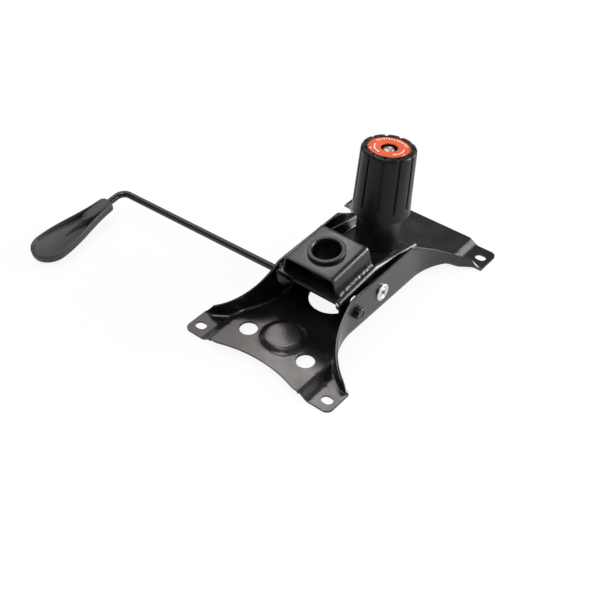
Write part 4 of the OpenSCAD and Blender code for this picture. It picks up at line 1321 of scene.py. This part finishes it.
# Lamps: name, place in metres, width, height, power and tone, all aimed at one point
WARM = (1.0, 0.93, 0.91)
NEUTRAL = (1.0, 1.0, 1.0)
AIM = (0.0, 0.0, 0.04)
LAMPS = (
    ("back_box", (-0.98, 0.36, 1.25), 0.85, 0.9, 5.7, WARM),
    ("hot_box", (-0.57, 0.68, 1.06), 0.26, 0.26, 2.0, WARM),
    ("rim_box", (1.05, 1.00, 0.47), 0.6, 0.85, 24.0, NEUTRAL),
    ("slope_box", (0.64, 1.19, 0.86), 0.4, 0.3, 1.6, NEUTRAL),
    ("low_box", (0.77, 1.34, 0.42), 0.8, 0.3, 6.0, NEUTRAL),
    ("top_box", (-0.1, -0.6, 1.8), 1.0, 1.0, 14.0, NEUTRAL),
)

# Camera, in millimetres but for its near limit in metres
SENSOR = 36.0
LENS = 61.2
NEAR = 0.01
EYE = (452.5, -628.5, 678.7)
LOOK_AT = (-27.82, -39.4, 0.0)


def build_floor():
    """A pale floor, white to the camera but for the object's shadow."""
    ends = (-FLOOR_HALF, FLOOR_HALF)
    floor = skin("floor", [[(x, y, 0) for x in ends] for y in ends], wrap=False)
    floor.location.z = -FLOOR_DROP * MM
    mat, tree, shader = new_material("floor")
    feed(tree, shader, {
        "Base Color": FLOOR_GREY, "Roughness": FLOOR_ROUGH, "Specular IOR Level": 0.0,
    })
    rays = add(tree, "ShaderNodeLightPath", {}).outputs
    shares = [add(tree, "ShaderNodeMath", {0: rays[ray], 1: part}, 'MULTIPLY').outputs[0]
              for ray, part in FLOOR_WHITE]
    seen = add(tree, "ShaderNodeMath", dict(enumerate(shares)), 'MAXIMUM').outputs[0]
    glow = add(tree, "ShaderNodeEmission", {"Color": WHITE}).outputs[0]
    blend = add(tree, "ShaderNodeMixShader", {"Fac": seen, 1: shader.outputs[0], 2: glow})
    feed(tree, tree.nodes["Material Output"], {"Surface": blend.outputs[0]})
    floor.data.materials.append(mat)


def build_world():
    """A studio dome: bright overhead and at the horizon, dark between, and white to the camera."""
    world = bpy.data.worlds.new("studio")
    bpy.context.scene.world = world
    world.use_nodes = True
    tree = world.node_tree
    way = add(tree, "ShaderNodeTexCoord", {}).outputs["Generated"]
    height = add(tree, "ShaderNodeSeparateXYZ", {"Vector": way}).outputs["Z"]
    dome = tint(tree, height, [(spot, [level] * 3) for spot, level in DOME_LEVELS])
    facing = add(tree, "ShaderNodeVectorMath", {0: way, 1: DARK_END}, 'DOT_PRODUCT').outputs["Value"]
    cloth = between(tree, facing, 1.0, CLOTH_LEVEL, *CLOTH_EDGE)
    shaded = add(tree, "ShaderNodeVectorMath", {0: dome, "Scale": cloth}, 'SCALE').outputs["Vector"]
    rays = add(tree, "ShaderNodeLightPath", {}).outputs
    straight = {0: rays["Is Camera Ray"], 1: rays["Is Transmission Ray"]}
    seen = add(tree, "ShaderNodeMath", straight, 'MAXIMUM').outputs[0]
    pick = add(tree, "ShaderNodeMix", {})
    pick.data_type = 'RGBA'
    feed(tree, pick, {"Factor": seen, "A": shaded, "B": WHITE})
    feed(tree, tree.nodes["Background"], {"Color": pick.outputs["Result"]})


def aim(obj, place_at, target):
    """Puts a lamp or camera in place and turns it to a target."""
    bpy.context.scene.collection.objects.link(obj)
    obj.location = place_at
    obj.rotation_euler = (Vector(target) - Vector(place_at)).to_track_quat('-Z', 'Y').to_euler()


def build_light():
    """Rectangular studio lamps."""
    for name, place_at, width, height, power, tone in LAMPS:
        lamp = bpy.data.lights.new(name, 'AREA')
        lamp.shape = 'RECTANGLE'
        lamp.size = width
        lamp.size_y = height
        lamp.energy = power
        lamp.color = tone
        aim(bpy.data.objects.new(name, lamp), place_at, AIM)


def build_camera():
    """A camera at the place that the plate's bolt slots fix."""
    camera = bpy.data.cameras.new("camera")
    camera.sensor_width = SENSOR
    camera.lens = LENS
    camera.clip_start = NEAR
    obj = bpy.data.objects.new("camera", camera)
    aim(obj, Vector(EYE) * MM, Vector(LOOK_AT) * MM)
    bpy.context.scene.camera = obj


build_seat_plate()
build_pivot_axle()
build_bushes()
build_tilt_bracket()
build_socket_box()
build_socket_tube()
build_welds()
build_spring_cup()
build_knob()
build_label()
build_bolt()
build_spring()
build_lever_rod()
build_handle()
dress_hardware()
build_floor()
build_world()
build_light()
build_camera()
bpy.context.scene.view_settings.view_transform = 'Standard'
